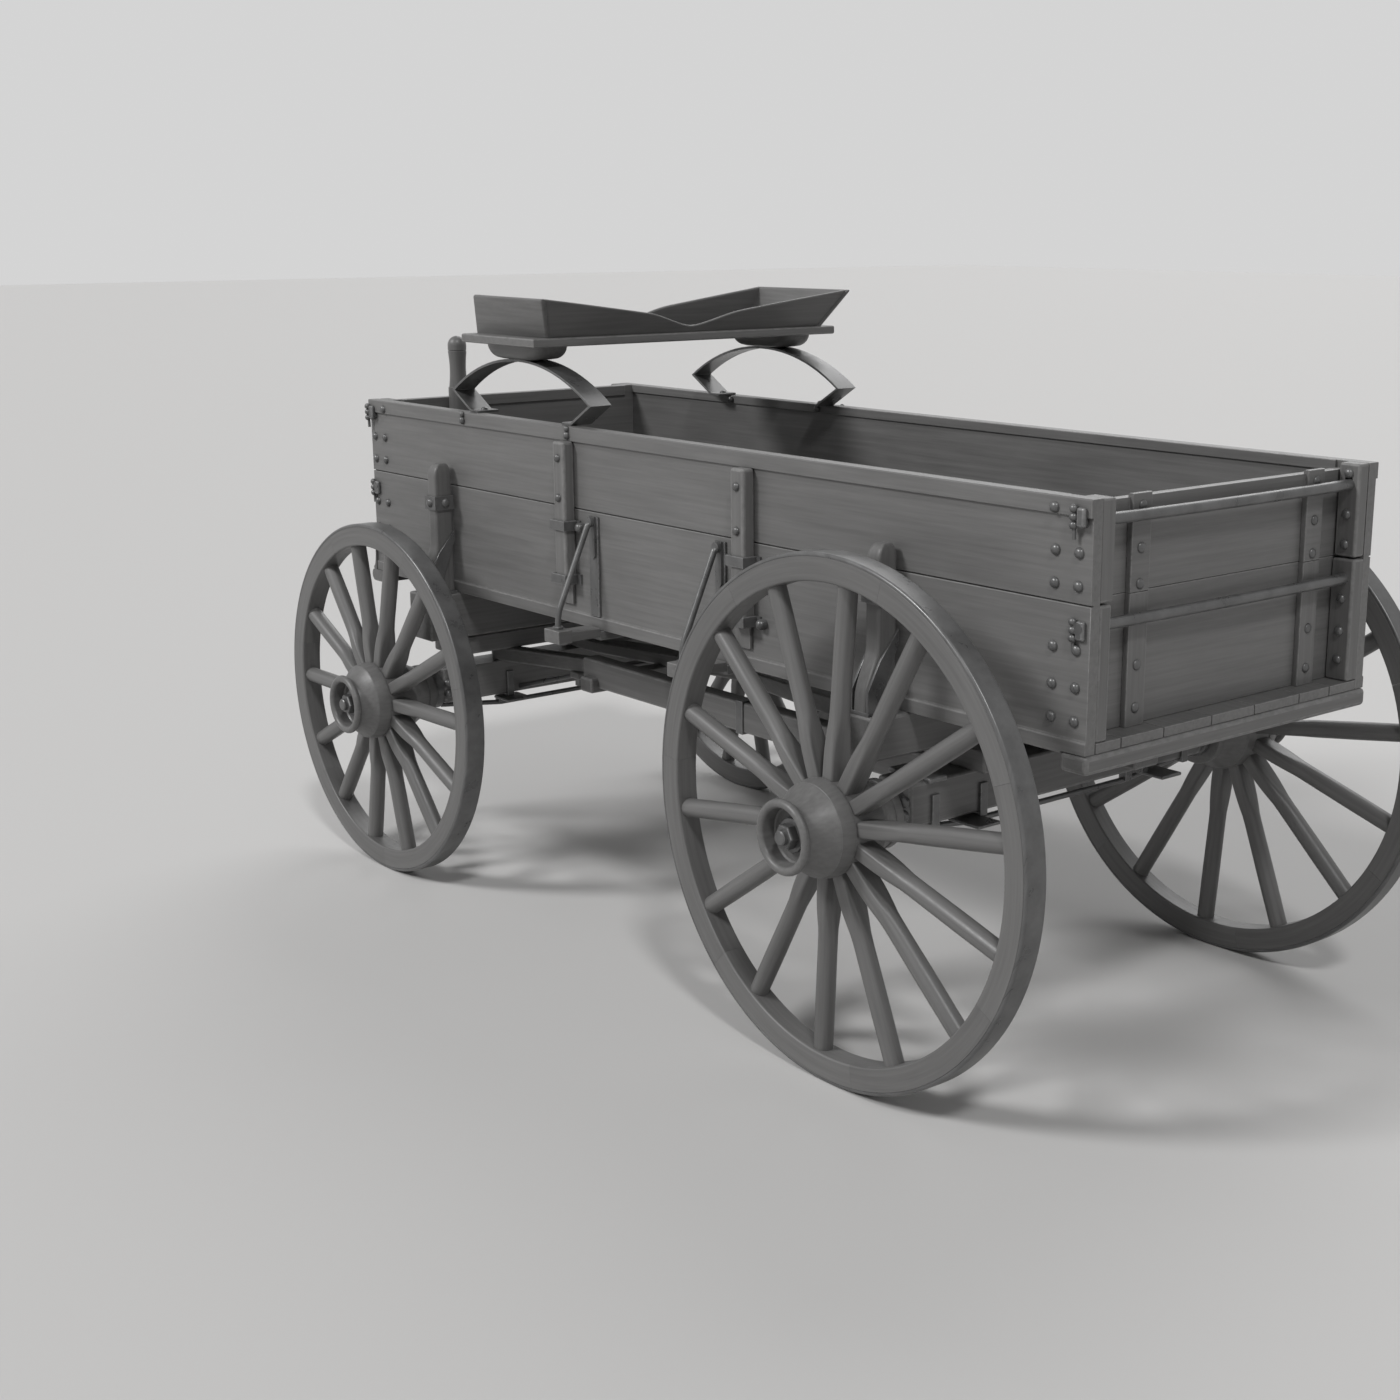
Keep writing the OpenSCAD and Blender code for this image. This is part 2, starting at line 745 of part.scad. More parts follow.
// Arched leaf with its ends returned to feet on the rail, as one outline
module seat_spring() {
    lean = spring_half - spring_foot;
    side = spring_t*norm([lean, spring_tip_h])/spring_tip_h;
    arc_z = spring_top_z - spring_outer_r;
    inner_r = spring_outer_r - spring_t;
    outer_a = acos((spring_tip_z - arc_z)/spring_outer_r);
    inner_a = acos((spring_tip_z - arc_z)/inner_r);
    function arc(r, a) = [for (i = [-spring_steps:spring_steps])
        [r*sin(a*i/spring_steps), arc_z + r*cos(a*i/spring_steps)]];
    foot = [[spring_foot, top_z], [spring_foot - spring_foot_l, top_z],
            [spring_foot - spring_foot_l, top_z + spring_t],
            [spring_foot - side + lean*spring_t/spring_tip_h, top_z + spring_t]];
    back = arc(inner_r, -inner_a);
    along_y(spring_w/2) polygon(concat(
        arc(spring_outer_r, outer_a), foot, back,
        [for (i = [len(foot) - 1:-1:0]) [-foot[i][0], foot[i][1]]]));
}

module seat_springs() {
    color(iron) both_sides() translate([seat_x, spring_y, 0]) seat_spring();
}

// Bolsters carry the box; the front one sits on the king bolt with a round rub plate
module front_bolster() {
    color(wood_dark) difference() {
        union() {
            block([front_bolster_x - bolster_w/2, -bolster_l/2, front_bolster_z],
                  [front_bolster_x + bolster_w/2, bolster_l/2, box_z]);
            translate([king_x, 0, front_bolster_z - rub_plate_t]) cylinder(r = rub_plate_r, h = rub_plate_t);
        }
        king_hole();
    }
}

module rear_bolster() {
    color(wood_dark) block([rear_bolster_x - rear_bolster_w/2, -bolster_l/2, rear_bolster_z],
                           [rear_bolster_x + rear_bolster_w/2, bolster_l/2, box_z]);
}

module king_hole() {
    translate([king_x, 0, 0]) cylinder(r = king_r + seat_clear, h = box_z - front_bolster_h/2 + seat_clear);
}

module king_bolt() {
    head_t = 2*king_r;
    top = box_z - front_bolster_h/2;
    head_z = front_axle_top - axle_h - seat_clear - head_t;
    color(iron) translate([king_x, 0, head_z]) {
        cylinder(r = king_r, h = top - head_z);
        cylinder(r = 2*king_r, h = head_t, $fn = 6);
    }
}

// Quarter turns for an outline's rounded corner, about a middle point
function corner(mid, r, a0, a1, n) = [for (i = [0:n])
    [mid[0] + r*cos(a0 + (a1 - a0)*i/n), mid[1] + r*sin(a0 + (a1 - a0)*i/n)]];

// Upright stakes on the bolster ends, rounded at the top and spread at the foot
module stakes() {
    foot_z = box_z + stake_plate_t;
    high = box_z + stake_h - stake_round;
    turn = 90;
    steps = stake_round_steps;
    color(wood_dark) both_sides() for (x = stake_xs) translate([x, 0, 0]) intersection() {
        along_x(-stake_w/2, stake_w/2) polygon(concat(
            [[stake_y, foot_z], [stake_out_y + stake_foot_out, foot_z],
             [stake_out_y + stake_foot_out, box_z + stake_foot_h*stake_foot_share],
             [stake_out_y, box_z + stake_foot_h]],
            corner([stake_out_y - stake_round, high], stake_round, 0, turn, steps),
            corner([stake_y + stake_round, high], stake_round, turn, 2*turn, steps)));
        along_y(bolster_l) polygon(concat(
            [[-stake_w/2, box_z], [stake_w/2, box_z]],
            corner([stake_w/2 - stake_round, high], stake_round, 0, turn, steps),
            corner([stake_round - stake_w/2, high], stake_round, turn, 2*turn, steps)));
    }
}

// Stake irons: a band near the top, slanting straps at the foot and a plate on the bolster
module stake_bands() {
    in_x = stake_w/2 + seat_clear;
    out_y = stake_out_y + seat_clear;
    foot_y = stake_out_y + stake_foot_out;
    slant = [[stake_y, stake_strap_top], [stake_y, stake_strap_top - stake_strap_w],
             [foot_y - stake_strap_w, stake_plate_t], [foot_y, stake_plate_t],
             [foot_y, stake_strap_low], [stake_out_y, (stake_strap_top + stake_strap_low)/2]];
    color(iron) both_sides() for (x = stake_xs) translate([x, 0, 0]) {
        translate([0, 0, stake_band_z]) linear_extrude(stake_band_h) polygon([
            [-in_x - stake_band_t, stake_y], [-in_x, stake_y], [-in_x, out_y], [in_x, out_y],
            [in_x, stake_y], [in_x + stake_band_t, stake_y],
            [in_x + stake_band_t, out_y + stake_band_t], [-in_x - stake_band_t, out_y + stake_band_t]]);
        block([-in_x - stake_plate_out, stake_y, box_z], [in_x + stake_plate_out, foot_y, box_z + stake_plate_t]);
        for (side = [0, 1]) mirror([side, 0, 0]) along_x(in_x, in_x + stake_strap_t)
            translate([0, box_z]) polygon(slant);
    }
}

// Side outline shared by the reach and the rear hounds
module reach_outline(rear_x, front_x) {
    polygon([
        [rear_x, reach_rear_z], [reach_level_rear, reach_rear_z],
        [reach_level_front, reach_front_z], [front_x, reach_front_z],
        [front_x, reach_front_z + reach_front_t], [reach_level_front, reach_front_z + reach_front_t],
        [reach_level_rear, reach_rear_z + reach_rear_t], [rear_x, reach_rear_z + reach_rear_t]]);
}

module reach() {
    color(wood_dark) difference() {
        along_y(reach_w/2) reach_outline(-reach_tail, king_x + reach_nose);
        king_hole();
        translate([-reach_tail + reach_hole_in, 0, reach_rear_z - cut_over])
            cylinder(r = reach_hole_r, h = reach_rear_t + 2*cut_over);
    }
}

// Two beams that spread from the sides of the reach to the rear axle
module rear_hounds() {
    near = reach_w/2;
    color(wood_dark) both_sides() intersection() {
        along_y(bolster_l) reach_outline(-reach_tail, king_x);
        linear_extrude(box_z) polygon([
            [rear_hound_meet, near], [rear_hound_meet, near + hound_w/2],
            [0, rear_hound_spread + hound_w], [-rear_hound_tail, rear_hound_spread + hound_w],
            [-rear_hound_tail, rear_hound_spread], [0, rear_hound_spread],
            [rear_hound_meet - rear_hound_lap, near]]);
    }
}

module axle_beam(x, top) {
    block([x - axle_w/2, -axle_l/2, top - axle_h], [x + axle_w/2, axle_l/2, top]);
}

module rear_axle() {
    color(wood_dark) axle_beam(0, rear_axle_top);
}

module front_axle() {
    color(wood_dark) difference() {
        axle_beam(wheelbase, front_axle_top);
        king_hole();
    }
}

// Everything on the left wheel's axis: local Z points outwards from the rim's middle plane
module on_arm(x, z) {
    translate([x, track/2, z]) rotate([-90, 0, 0]) children();
}

// Cast skein: root on the beam's end, collar behind the hub, arm, washer and nut
module skein(hub_out) {
    root = axle_l/2 - track/2;
    collar_end = -hub_in - swivel_clear;
    seat = hub_out - hub_recess_d + swivel_clear;
    nut_end = seat + washer_t + nut_t;
    rotate_extrude() polygon([
        [0, root], [skein_root_r, root], [skein_neck_r, collar_end - collar_t],
        [collar_r, collar_end - collar_t], [collar_r, collar_end], [arm_r, collar_end],
        [arm_r, seat], [washer_r, seat], [washer_r, seat + washer_t],
        [thread_r, seat + washer_t], [thread_r, nut_end + bolt_stub], [0, nut_end + bolt_stub]]);
    translate([0, 0, seat + washer_t]) cylinder(r = nut_r, h = nut_t, $fn = 6);
}

module rear_skeins() { color(iron) both_sides() on_arm(0, rear_z) skein(rear_hub_out); }
module front_skeins() { color(iron) both_sides() on_arm(wheelbase, front_z) skein(front_hub_out); }

// Iron bands round an axle beam
module axle_clips(x, top) {
    inner = axle_w/2 + seat_clear;
    color(iron) both_sides() for (y = clip_ys) translate([x, y, 0]) difference() {
        block([-inner - clip_t, -clip_w/2, top - axle_h - clip_t - seat_clear],
              [inner + clip_t, clip_w/2, top - axle_h + axle_h*clip_rise_share]);
        block([-inner, -clip_w, top - axle_h - seat_clear], [inner, clip_w, top]);
    }
}

module rear_clips() { axle_clips(0, rear_axle_top); }
module front_clips() { axle_clips(wheelbase, front_axle_top); }

// Tie rod under an axle beam, bent down between its ends
module truss(x, top) {
    end_z = top - axle_h - clip_t - seat_clear - truss_d/2;
    mid_z = end_z - truss_drop;
    color(iron) {
        rod([x, -truss_y, mid_z], [x, truss_y, mid_z], truss_d);
        both_sides() {
            rod([x, truss_y, mid_z], [x, truss_end_y, end_z], truss_d);
            block([x - clip_w/2, truss_y - clip_w/2, mid_z], [x + clip_w/2, truss_y + clip_w/2, end_z + truss_d/2]);
        }
    }
}

module rear_truss() { truss(0, rear_axle_top); }
module front_truss() { truss(wheelbase, front_axle_top); }

module sand_bolster() {
    color(wood_dark) difference() {
        block([king_x - sand_w/2, -sand_l/2, sand_z], [king_x + sand_w/2, sand_l/2, sand_top]);
        king_hole();
    }
}

// Two bent beams under the sand bolster that close to a jaw in front and to the sway bar behind
module front_hounds() {
    tip = wheelbase + hound_front;
    jaw_x = wheelbase + jaw_start;
    near = jaw_gap/2;
    color(wood_dark) both_sides() difference() {
        translate([0, 0, front_hound_z]) linear_extrude(hound_t) polygon([
            [hound_rear_x, hound_rear_spread - hound_w/2], [king_x, hound_spread - hound_w/2],
            [jaw_x, near], [tip, near], [tip, near + hound_w], [jaw_x, near + hound_w],
            [king_x, hound_spread + hound_w/2], [hound_rear_x, hound_rear_spread + hound_w/2]]);
        translate([tip - jaw_back, -box_w, front_hound_z + hound_t/2]) rotate([-90, 0, 0])
            cylinder(r = draw_pin_r, h = 2*box_w);
    }
}

// Cross bar under the rear ends of the front hounds
module sway_bar() {
    half = hound_rear_spread + hound_w/2 + sway_over;
    color(wood_dark) block([hound_rear_x, -half, front_hound_z - sway_t],
                           [hound_rear_x + sway_w, half, front_hound_z]);
}

// Rods from the sway bar down to the foot of the axle
module hound_braces() {
    low = front_axle_top - axle_h + hound_brace_rise;
    rear = hound_rear_x + sway_w;
    front = wheelbase - axle_w/2;
    color(iron) both_sides() intersection() {
        rod([rear - truss_d, hound_rear_spread, front_hound_z - sway_t/2],
            [front + truss_d, hound_brace_y, low], truss_d);
        block([rear, 0, 0], [front, bolster_l, box_z]);
    }
}

// Wheel pieces about the local Z axis
module tyre(r) {
    color(iron) rotate_extrude($fn = 96) polygon([
        [r - tyre_t + seat_clear, -rim_w/2], [r - tyre_bevel/2, -rim_w/2], [r, -rim_w/2 + tyre_bevel],
        [r, rim_w/2 - tyre_bevel], [r - tyre_bevel/2, rim_w/2], [r - tyre_t + seat_clear, rim_w/2]]);
}

module felloes(r) {
    inside = r - rim_in_r;
    color(wood) rotate_extrude($fn = 96) polygon([
        [inside, -rim_w/2 + edge_bevel], [inside + edge_bevel, -rim_w/2], [r - tyre_t, -rim_w/2],
        [r - tyre_t, rim_w/2], [inside + edge_bevel, rim_w/2], [inside, rim_w/2 - edge_bevel]]);
}

// Spoke: a squared foot shaved down into a round outer part
module spoke(r) {
    inside = r - rim_in_r;
    start = hub_r + seat_clear;
    end = sqrt(inside*inside - spoke_tip_d*spoke_tip_d/4) - seat_clear;
    foot_end = start + (end - start)*spoke_foot_share;
    round_z = start + (end - start)*spoke_round_share;
    corner_r = norm([spoke_foot_w, spoke_foot_d])/2;
    rotate_extrude() polygon([
        [0, start], [spoke_foot_w/2, start], [spoke_foot_w/2, foot_end],
        [spoke_tip_d/2, round_z], [spoke_tip_d/2, end], [0, end]]);
    intersection() {
        block([-spoke_foot_w/2, -spoke_foot_d/2, start], [spoke_foot_w/2, spoke_foot_d/2, round_z]);
        rotate_extrude() polygon([
            [0, start], [corner_r, start], [corner_r, (start + foot_end)/2],
            [spoke_tip_d/2, round_z], [0, round_z]]);
    }
}

module spokes(r, turn) {
    color(wood) for (i = [0:spoke_count - 1])
        rotate([0, 0, turn + i*360/spoke_count]) rotate([90, 0, 0]) spoke(r);
}

// Turned hub: a flat round the spokes, a bell out to the neck and a rounded ring at the end
module hub(out) {
    flat = hub_flat/2;
    bore = arm_r + seat_clear;
    bell_z = flat + hub_band_w;
    bell_r = hub_r - hub_band_t;
    neck_z = out - 2*hub_ring_r;
    ring_mid = hub_end_r - hub_ring_r;
    function bell(t) = [hub_neck_r + (bell_r - hub_neck_r)*pow(1 - t, hub_bell_power),
                        bell_z + (neck_z - bell_z)*t];
    ring = [for (i = [0:hub_steps]) let (a = 180*i/hub_steps - 90)
        [ring_mid + hub_ring_r*cos(a), out - hub_ring_r + hub_ring_r*sin(a)]];
    color(wood_dark) rotate_extrude() polygon(concat(
        [[bore, -hub_in], [hub_end_r, -hub_in], [hub_end_r, -hub_in + hub_lip_l],
         [hub_r, -flat - hub_shoulder], [hub_r, bell_z]],
        [for (i = [0:hub_steps]) bell(i/hub_steps)],
        [for (i = [1:hub_steps]) ring[i]],
        [[hub_recess_r, out - hub_ring_r], [hub_recess_r, out - hub_recess_d], [bore, out - hub_recess_d]]));
}

module left_wheel(x, r) { on_arm(x, r) children(); }
module right_wheel(x, r) { mirror([0, 1, 0]) on_arm(x, r) children(); }

placed() floor_boards();
placed() rear_sill();
placed() middle_sills();
placed() front_nose();
placed() side_lower();  // side_lower_left
placed() mirror([0, 1, 0]) side_lower();  // side_lower_right
placed() side_upper();  // side_upper_left
placed() mirror([0, 1, 0]) side_upper();  // side_upper_right
placed() inner_rails();
placed() front_board(floor_top, split_z);  // front_board_lower
placed() front_board_upper();
placed() corner_cleats();
placed() end_rods();
placed() side_posts();
placed() post_straps();
placed() brace_plates();
placed() brace_rods();
placed() rein_post();
placed() seat_plank();
placed() seat_tray();
placed() spring_blocks();
placed() seat_springs();
placed() front_bolster();
placed() rear_bolster();
placed() stakes();
placed() stake_bands();
placed() reach();
placed() rear_hounds();
placed() rear_axle();
placed() rear_skeins();
placed() rear_clips();
placed() rear_truss();
placed() king_bolt();
placed() gate_lower();
placed() gate_upper();
placed() front_axle();
placed() front_skeins();
placed() sand_bolster();
placed() front_hounds();
placed() sway_bar();
placed() front_clips();
placed() front_truss();
placed() hound_braces();
placed() left_wheel(0, rear_wheel_r) tyre(rear_wheel_r);  // tyre_rl
placed() left_wheel(0, rear_wheel_r) felloes(rear_wheel_r);  // felloes_rl
placed() left_wheel(0, rear_wheel_r) spokes(rear_wheel_r, rear_spoke_turn);  // spokes_rl
placed() left_wheel(0, rear_wheel_r) hub(rear_hub_out);  // hub_rl
placed() right_wheel(0, rear_wheel_r) tyre(rear_wheel_r);  // tyre_rr
placed() right_wheel(0, rear_wheel_r) felloes(rear_wheel_r);  // felloes_rr
placed() right_wheel(0, rear_wheel_r) spokes(rear_wheel_r, rear_spoke_turn);  // spokes_rr
placed() right_wheel(0, rear_wheel_r) hub(rear_hub_out);  // hub_rr
placed() left_wheel(wheelbase, front_wheel_r) tyre(front_wheel_r);  // tyre_fl
placed() left_wheel(wheelbase, front_wheel_r) felloes(front_wheel_r);  // felloes_fl
placed() left_wheel(wheelbase, front_wheel_r) spokes(front_wheel_r, front_spoke_turn);  // spokes_fl
placed() left_wheel(wheelbase, front_wheel_r) hub(front_hub_out);  // hub_fl
placed() right_wheel(wheelbase, front_wheel_r) tyre(front_wheel_r);  // tyre_fr
placed() right_wheel(wheelbase, front_wheel_r) felloes(front_wheel_r);  // felloes_fr
placed() right_wheel(wheelbase, front_wheel_r) spokes(front_wheel_r, front_spoke_turn);  // spokes_fr
placed() right_wheel(wheelbase, front_wheel_r) hub(front_hub_out);  // hub_fr
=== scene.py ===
"""Farm wagon: the looks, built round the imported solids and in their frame, in metres."""

import math

import bmesh
import bpy
import numpy as np
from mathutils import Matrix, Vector


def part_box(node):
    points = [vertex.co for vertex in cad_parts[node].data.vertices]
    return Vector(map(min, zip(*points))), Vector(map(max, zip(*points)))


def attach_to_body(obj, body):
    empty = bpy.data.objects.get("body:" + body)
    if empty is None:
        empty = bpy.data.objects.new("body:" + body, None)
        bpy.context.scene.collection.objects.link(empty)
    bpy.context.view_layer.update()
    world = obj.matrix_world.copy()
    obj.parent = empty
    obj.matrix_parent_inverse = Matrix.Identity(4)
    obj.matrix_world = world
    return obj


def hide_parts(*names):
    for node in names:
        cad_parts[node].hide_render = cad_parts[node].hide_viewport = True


SEED = 11

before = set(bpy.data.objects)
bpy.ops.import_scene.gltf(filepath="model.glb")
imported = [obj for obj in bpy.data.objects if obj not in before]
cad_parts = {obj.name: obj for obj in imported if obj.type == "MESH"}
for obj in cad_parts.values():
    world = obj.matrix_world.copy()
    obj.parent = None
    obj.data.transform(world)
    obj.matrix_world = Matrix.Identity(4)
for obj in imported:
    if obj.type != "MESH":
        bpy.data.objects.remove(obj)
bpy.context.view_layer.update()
rng = np.random.RandomState(SEED)
X, Y, Z = Vector((1, 0, 0)), Vector((0, 1, 0)), Vector((0, 0, 1))
SIDES = (1, -1)

# Materials. Each reads three values kept on the meshes: "grain" is the place in the timber with
# the fibres along its first axis, "tone" shifts one board against the next, and the third marks
# the rounded edges, which are painted paler: partly wear, partly a painted highlight.
# A noise is given by its stretch, detail and roughness, a range by low and high, before and after.

MIX_FACTOR, MIX_A, MIX_B, MIX_RESULT = 0, 6, 7, 2
WOOD_STREAKS = ((3.2, 95.0, 95.0), 5.0, 0.55)
WOOD_FIBRES = ((16.0, 620.0, 620.0), 3.0, 0.55)
WOOD_PATCHES = ((2.2, 6.5, 6.5), 3.0, 0.55)
WOOD_SCUFFS = ((38.0, 60.0, 60.0), 4.0, 0.65)
STREAK_SHARE, PATCH_SHARE, FIBRE_SHARE = 0.6, 0.4, 0.16
STREAK_HEIGHT, FIBRE_HEIGHT = 0.7, 0.5
WOOD_SHADE = (0.34, 0.66, 0.0, 1.0)
WOOD_RUB_AND_HIGHLIGHT = (0.36, 0.6, 0.15, 0.85)
WOOD_ROUGH = (0.5, 1.0, 0.33, 0.52)
SCUFF_ROUGH = 0.5
WOOD_SPECULAR = 0.5
WOOD_BUMP = (0.3, 0.0011)
IRON_MOTTLE = ((17.0, 17.0, 17.0), 5.0, 0.6)
IRON_PITS = ((330.0, 330.0, 330.0), 3.0, 0.55)
IRON_SCUFFS = ((70.0, 70.0, 70.0), 4.0, 0.65)
PIT_HEIGHT, MOTTLE_HEIGHT = 0.5, 0.5
IRON_SHADE = (0.32, 0.68, 0.0, 1.0)
IRON_RUB_AND_HIGHLIGHT = (0.36, 0.6, 0.2, 0.9)
IRON_ROUGH = (0.3, 0.7, 0.25, 0.4)
IRON_METALLIC = 0.35
IRON_BUMP = (0.25, 0.0009)


class Nodes:
    """A material with its node tree."""

    def __init__(self, name):
        self.material = bpy.data.materials.new(name)
        self.material.use_nodes = True
        self.tree = self.material.node_tree
        self.shader = self.tree.nodes["Principled BSDF"]

    def add(self, kind, settings=None, inputs=None):
        node = self.tree.nodes.new(kind)
        for key, value in (settings or {}).items():
            setattr(node, key, value)
        for key, value in (inputs or {}).items():
            if isinstance(value, bpy.types.NodeSocket):
                self.tree.links.new(value, node.inputs[key])
            else:
                node.inputs[key].default_value = value
        return node

    def kept(self, name, output):
        return self.add("ShaderNodeAttribute", {"attribute_name": name}).outputs[output]

    def math(self, operation, a, b=0.0, c=0.0):
        node = self.add("ShaderNodeMath", {"operation": operation}, {0: a, 1: b, 2: c})
        return node.outputs[0]

    def noise(self, place, stretch, detail, roughness):
        moved = self.add("ShaderNodeVectorMath", {"operation": "MULTIPLY"}, {0: place, 1: stretch})
        made = self.add("ShaderNodeTexNoise", None, {
            "Vector": moved.outputs[0], "Scale": 1.0, "Detail": detail, "Roughness": roughness})
        return made.outputs["Fac"]

    def spread(self, value, low, high, to_low, to_high):
        node = self.add("ShaderNodeMapRange", None, {
            "Value": value, "From Min": low, "From Max": high, "To Min": to_low, "To Max": to_high})
        return node.outputs["Result"]

    def blend(self, factor, a, b):
        node = self.add("ShaderNodeMix", {"data_type": "RGBA"}, {MIX_FACTOR: factor, MIX_A: a, MIX_B: b})
        return node.outputs[MIX_RESULT]

    def finish(self, color, roughness, height, strength, distance):
        bump = self.add("ShaderNodeBump", None, {
            "Height": height, "Strength": strength, "Distance": distance})
        self.tree.links.new(color, self.shader.inputs["Base Color"])
        self.tree.links.new(roughness, self.shader.inputs["Roughness"])
        self.tree.links.new(bump.outputs["Normal"], self.shader.inputs["Normal"])
        return self.material


def grey(level, warmth=0.0):
    """A grey of that level, slightly warm or not."""
    return (level * (1 + warmth), level, level * (1 - warmth), 1.0)


def wood_material(name, dark, light, worn, warmth):
    """Weathered grey timber: long streaks, fine fibres, broad patches, and paler rounded edges that are
    partly wear and partly a painted highlight.
    """
    n = Nodes(name)
    place = n.kept("grain", "Vector")
    streaks = n.noise(place, *WOOD_STREAKS)
    fibres = n.noise(place, *WOOD_FIBRES)
    patches = n.noise(place, *WOOD_PATCHES)
    scuffs = n.noise(place, *WOOD_SCUFFS)
    mixed = n.math("MULTIPLY_ADD", streaks, STREAK_SHARE, n.math("MULTIPLY", patches, PATCH_SHARE))
    mixed = n.math("MULTIPLY_ADD", fibres, FIBRE_SHARE, n.math("ADD", mixed, -FIBRE_SHARE / 2))
    shade = n.spread(n.math("ADD", mixed, n.kept("tone", "Fac")), *WOOD_SHADE)
    color = n.blend(shade, grey(dark, warmth), grey(light, warmth))
    # Paler rounded edges, broken up by scuffs: partly wear, partly a painted highlight.
    rub_and_highlight = n.math("MULTIPLY", n.kept("worn", "Fac"), n.spread(scuffs, *WOOD_RUB_AND_HIGHLIGHT))
    color = n.blend(rub_and_highlight, color, grey(worn, warmth))
    fine = n.math("MULTIPLY", fibres, FIBRE_HEIGHT)
    height = n.math("MULTIPLY_ADD", streaks, STREAK_HEIGHT, fine)
    scuffed = n.math("ADD", patches, n.math("MULTIPLY", scuffs, SCUFF_ROUGH))
    n.shader.inputs["Specular IOR Level"].default_value = WOOD_SPECULAR
    return n.finish(color, n.spread(scuffed, *WOOD_ROUGH), height, *WOOD_BUMP)


def iron_material(name, dark, light, worn):
    """Black-grey forged iron: mottled, finely pitted, brighter on its rounded edges, partly as wear and
    partly as a painted highlight.
    """
    n = Nodes(name)
    place = n.kept("grain", "Vector")
    mottle = n.noise(place, *IRON_MOTTLE)
    pits = n.noise(place, *IRON_PITS)
    scuffs = n.noise(place, *IRON_SCUFFS)
    shade = n.spread(n.math("ADD", mottle, n.kept("tone", "Fac")), *IRON_SHADE)
    color = n.blend(shade, grey(dark), grey(light))
    # Brighter rounded edges, broken up by scuffs: partly wear, partly a painted highlight.
    rub_and_highlight = n.math("MULTIPLY", n.kept("worn", "Fac"), n.spread(scuffs, *IRON_RUB_AND_HIGHLIGHT))
    color = n.blend(rub_and_highlight, color, grey(worn))
    broad = n.math("MULTIPLY", mottle, MOTTLE_HEIGHT)
    height = n.math("MULTIPLY_ADD", pits, PIT_HEIGHT, broad)
    n.shader.inputs["Metallic"].default_value = IRON_METALLIC
    return n.finish(color, n.spread(mottle, *IRON_ROUGH), height, *IRON_BUMP)


# The third grey of each is the paler edge colour: partly wear, partly a painted highlight.
MATERIALS = {
    "box_wood": wood_material("box_timber", dark=0.126, light=0.178, worn=0.235, warmth=0.012),
    "gear_wood": wood_material("gear_timber", dark=0.112, light=0.160, worn=0.215, warmth=0.012),
    "iron": iron_material("forged_iron", dark=0.105, light=0.160, worn=0.25),
}

# Building tools

SHARP_DEG = 38.0
TONE_SPREAD = 0.05
GRAIN_SHIFT = 5.0
THINNEST = 1e-5
STEEP = 0.9
LENGTHWISE = 0.8
ROUND = 2.0
BEVEL_PROFILE = 0.5
PLAIN_STEPS, FINE_STEPS = 2, 3
EASE_STEPS = 8
BALL_POLE = 0.02
BALL_AROUND = 16
BALL_ROWS = 9
BOLT_AROUND = 16
DOME_STEPS = ((1.0, 0.0), (1.0, 0.1), (0.96, 0.35), (0.85, 0.6), (0.66, 0.81), (0.42, 0.94),
              (0.1, 1.0))
NUT_STEPS = ((0.94, 0.0), (1.0, 0.12), (1.0, 0.84), (0.9, 1.0))
NUT_SIDES = 6
NUT_WEAR_AND_HIGHLIGHT_ROW = 2
WELD = 0.00002
FLAT_DEG = 0.4
ROUNDED_DEG = 24.0
SHORTEST_EDGE = 0.03
NARROW = 2.1


class Shape:
    """Points and faces under construction, with the values that the materials read."""

    def __init__(self):
        self.points, self.faces = [], []
        self.grain, self.tone, self.worn = [], [], []

    def add(self, points, faces, grain=None, tone=0.0, worn=0.0):
        start = sum(len(p) for p in self.points)
        points = np.asarray(points, float).reshape(-1, 3)
        self.points.append(points)
        self.faces += [tuple(int(i) + start for i in f) for f in faces]
        self.grain.append(points if grain is None else np.asarray(grain, float).reshape(-1, 3))
        self.tone.append(np.full(len(points), tone))
        marks = np.full(len(faces), worn) if np.isscalar(worn) else np.asarray(worn, float)
        self.worn.append(marks)

    def make(self, name, body, slot, replaces=()):
        mesh = bpy.data.meshes.new(name)
        mesh.from_pydata(np.concatenate(self.points).tolist(), [], self.faces)
        values = [np.concatenate(kept) for kept in (self.grain, self.tone, self.worn)]
        attach(mesh, *values)
        bm = bmesh.new()
        bm.from_mesh(mesh)
        bmesh.ops.recalc_face_normals(bm, faces=bm.faces)
        bm.to_mesh(mesh)
        bm.free()
        return place_piece(mesh, name, body, slot, replaces)


def attach(mesh, grain, tone, worn):
    """Keeps on a mesh the values that the materials read."""
    kept = mesh.attributes.new("grain", "FLOAT_VECTOR", "POINT")
    kept.data.foreach_set("vector", np.asarray(grain, np.float32).ravel())
    kept = mesh.attributes.new("tone", "FLOAT", "POINT")
    kept.data.foreach_set("value", np.asarray(tone, np.float32))
    kept = mesh.attributes.new("worn", "FLOAT", "FACE")
    kept.data.foreach_set("value", np.asarray(worn, np.float32))


def put(name, data):
    """A new object in the scene."""
    made = bpy.data.objects.new(name, data)
    bpy.context.scene.collection.objects.link(made)
    return made


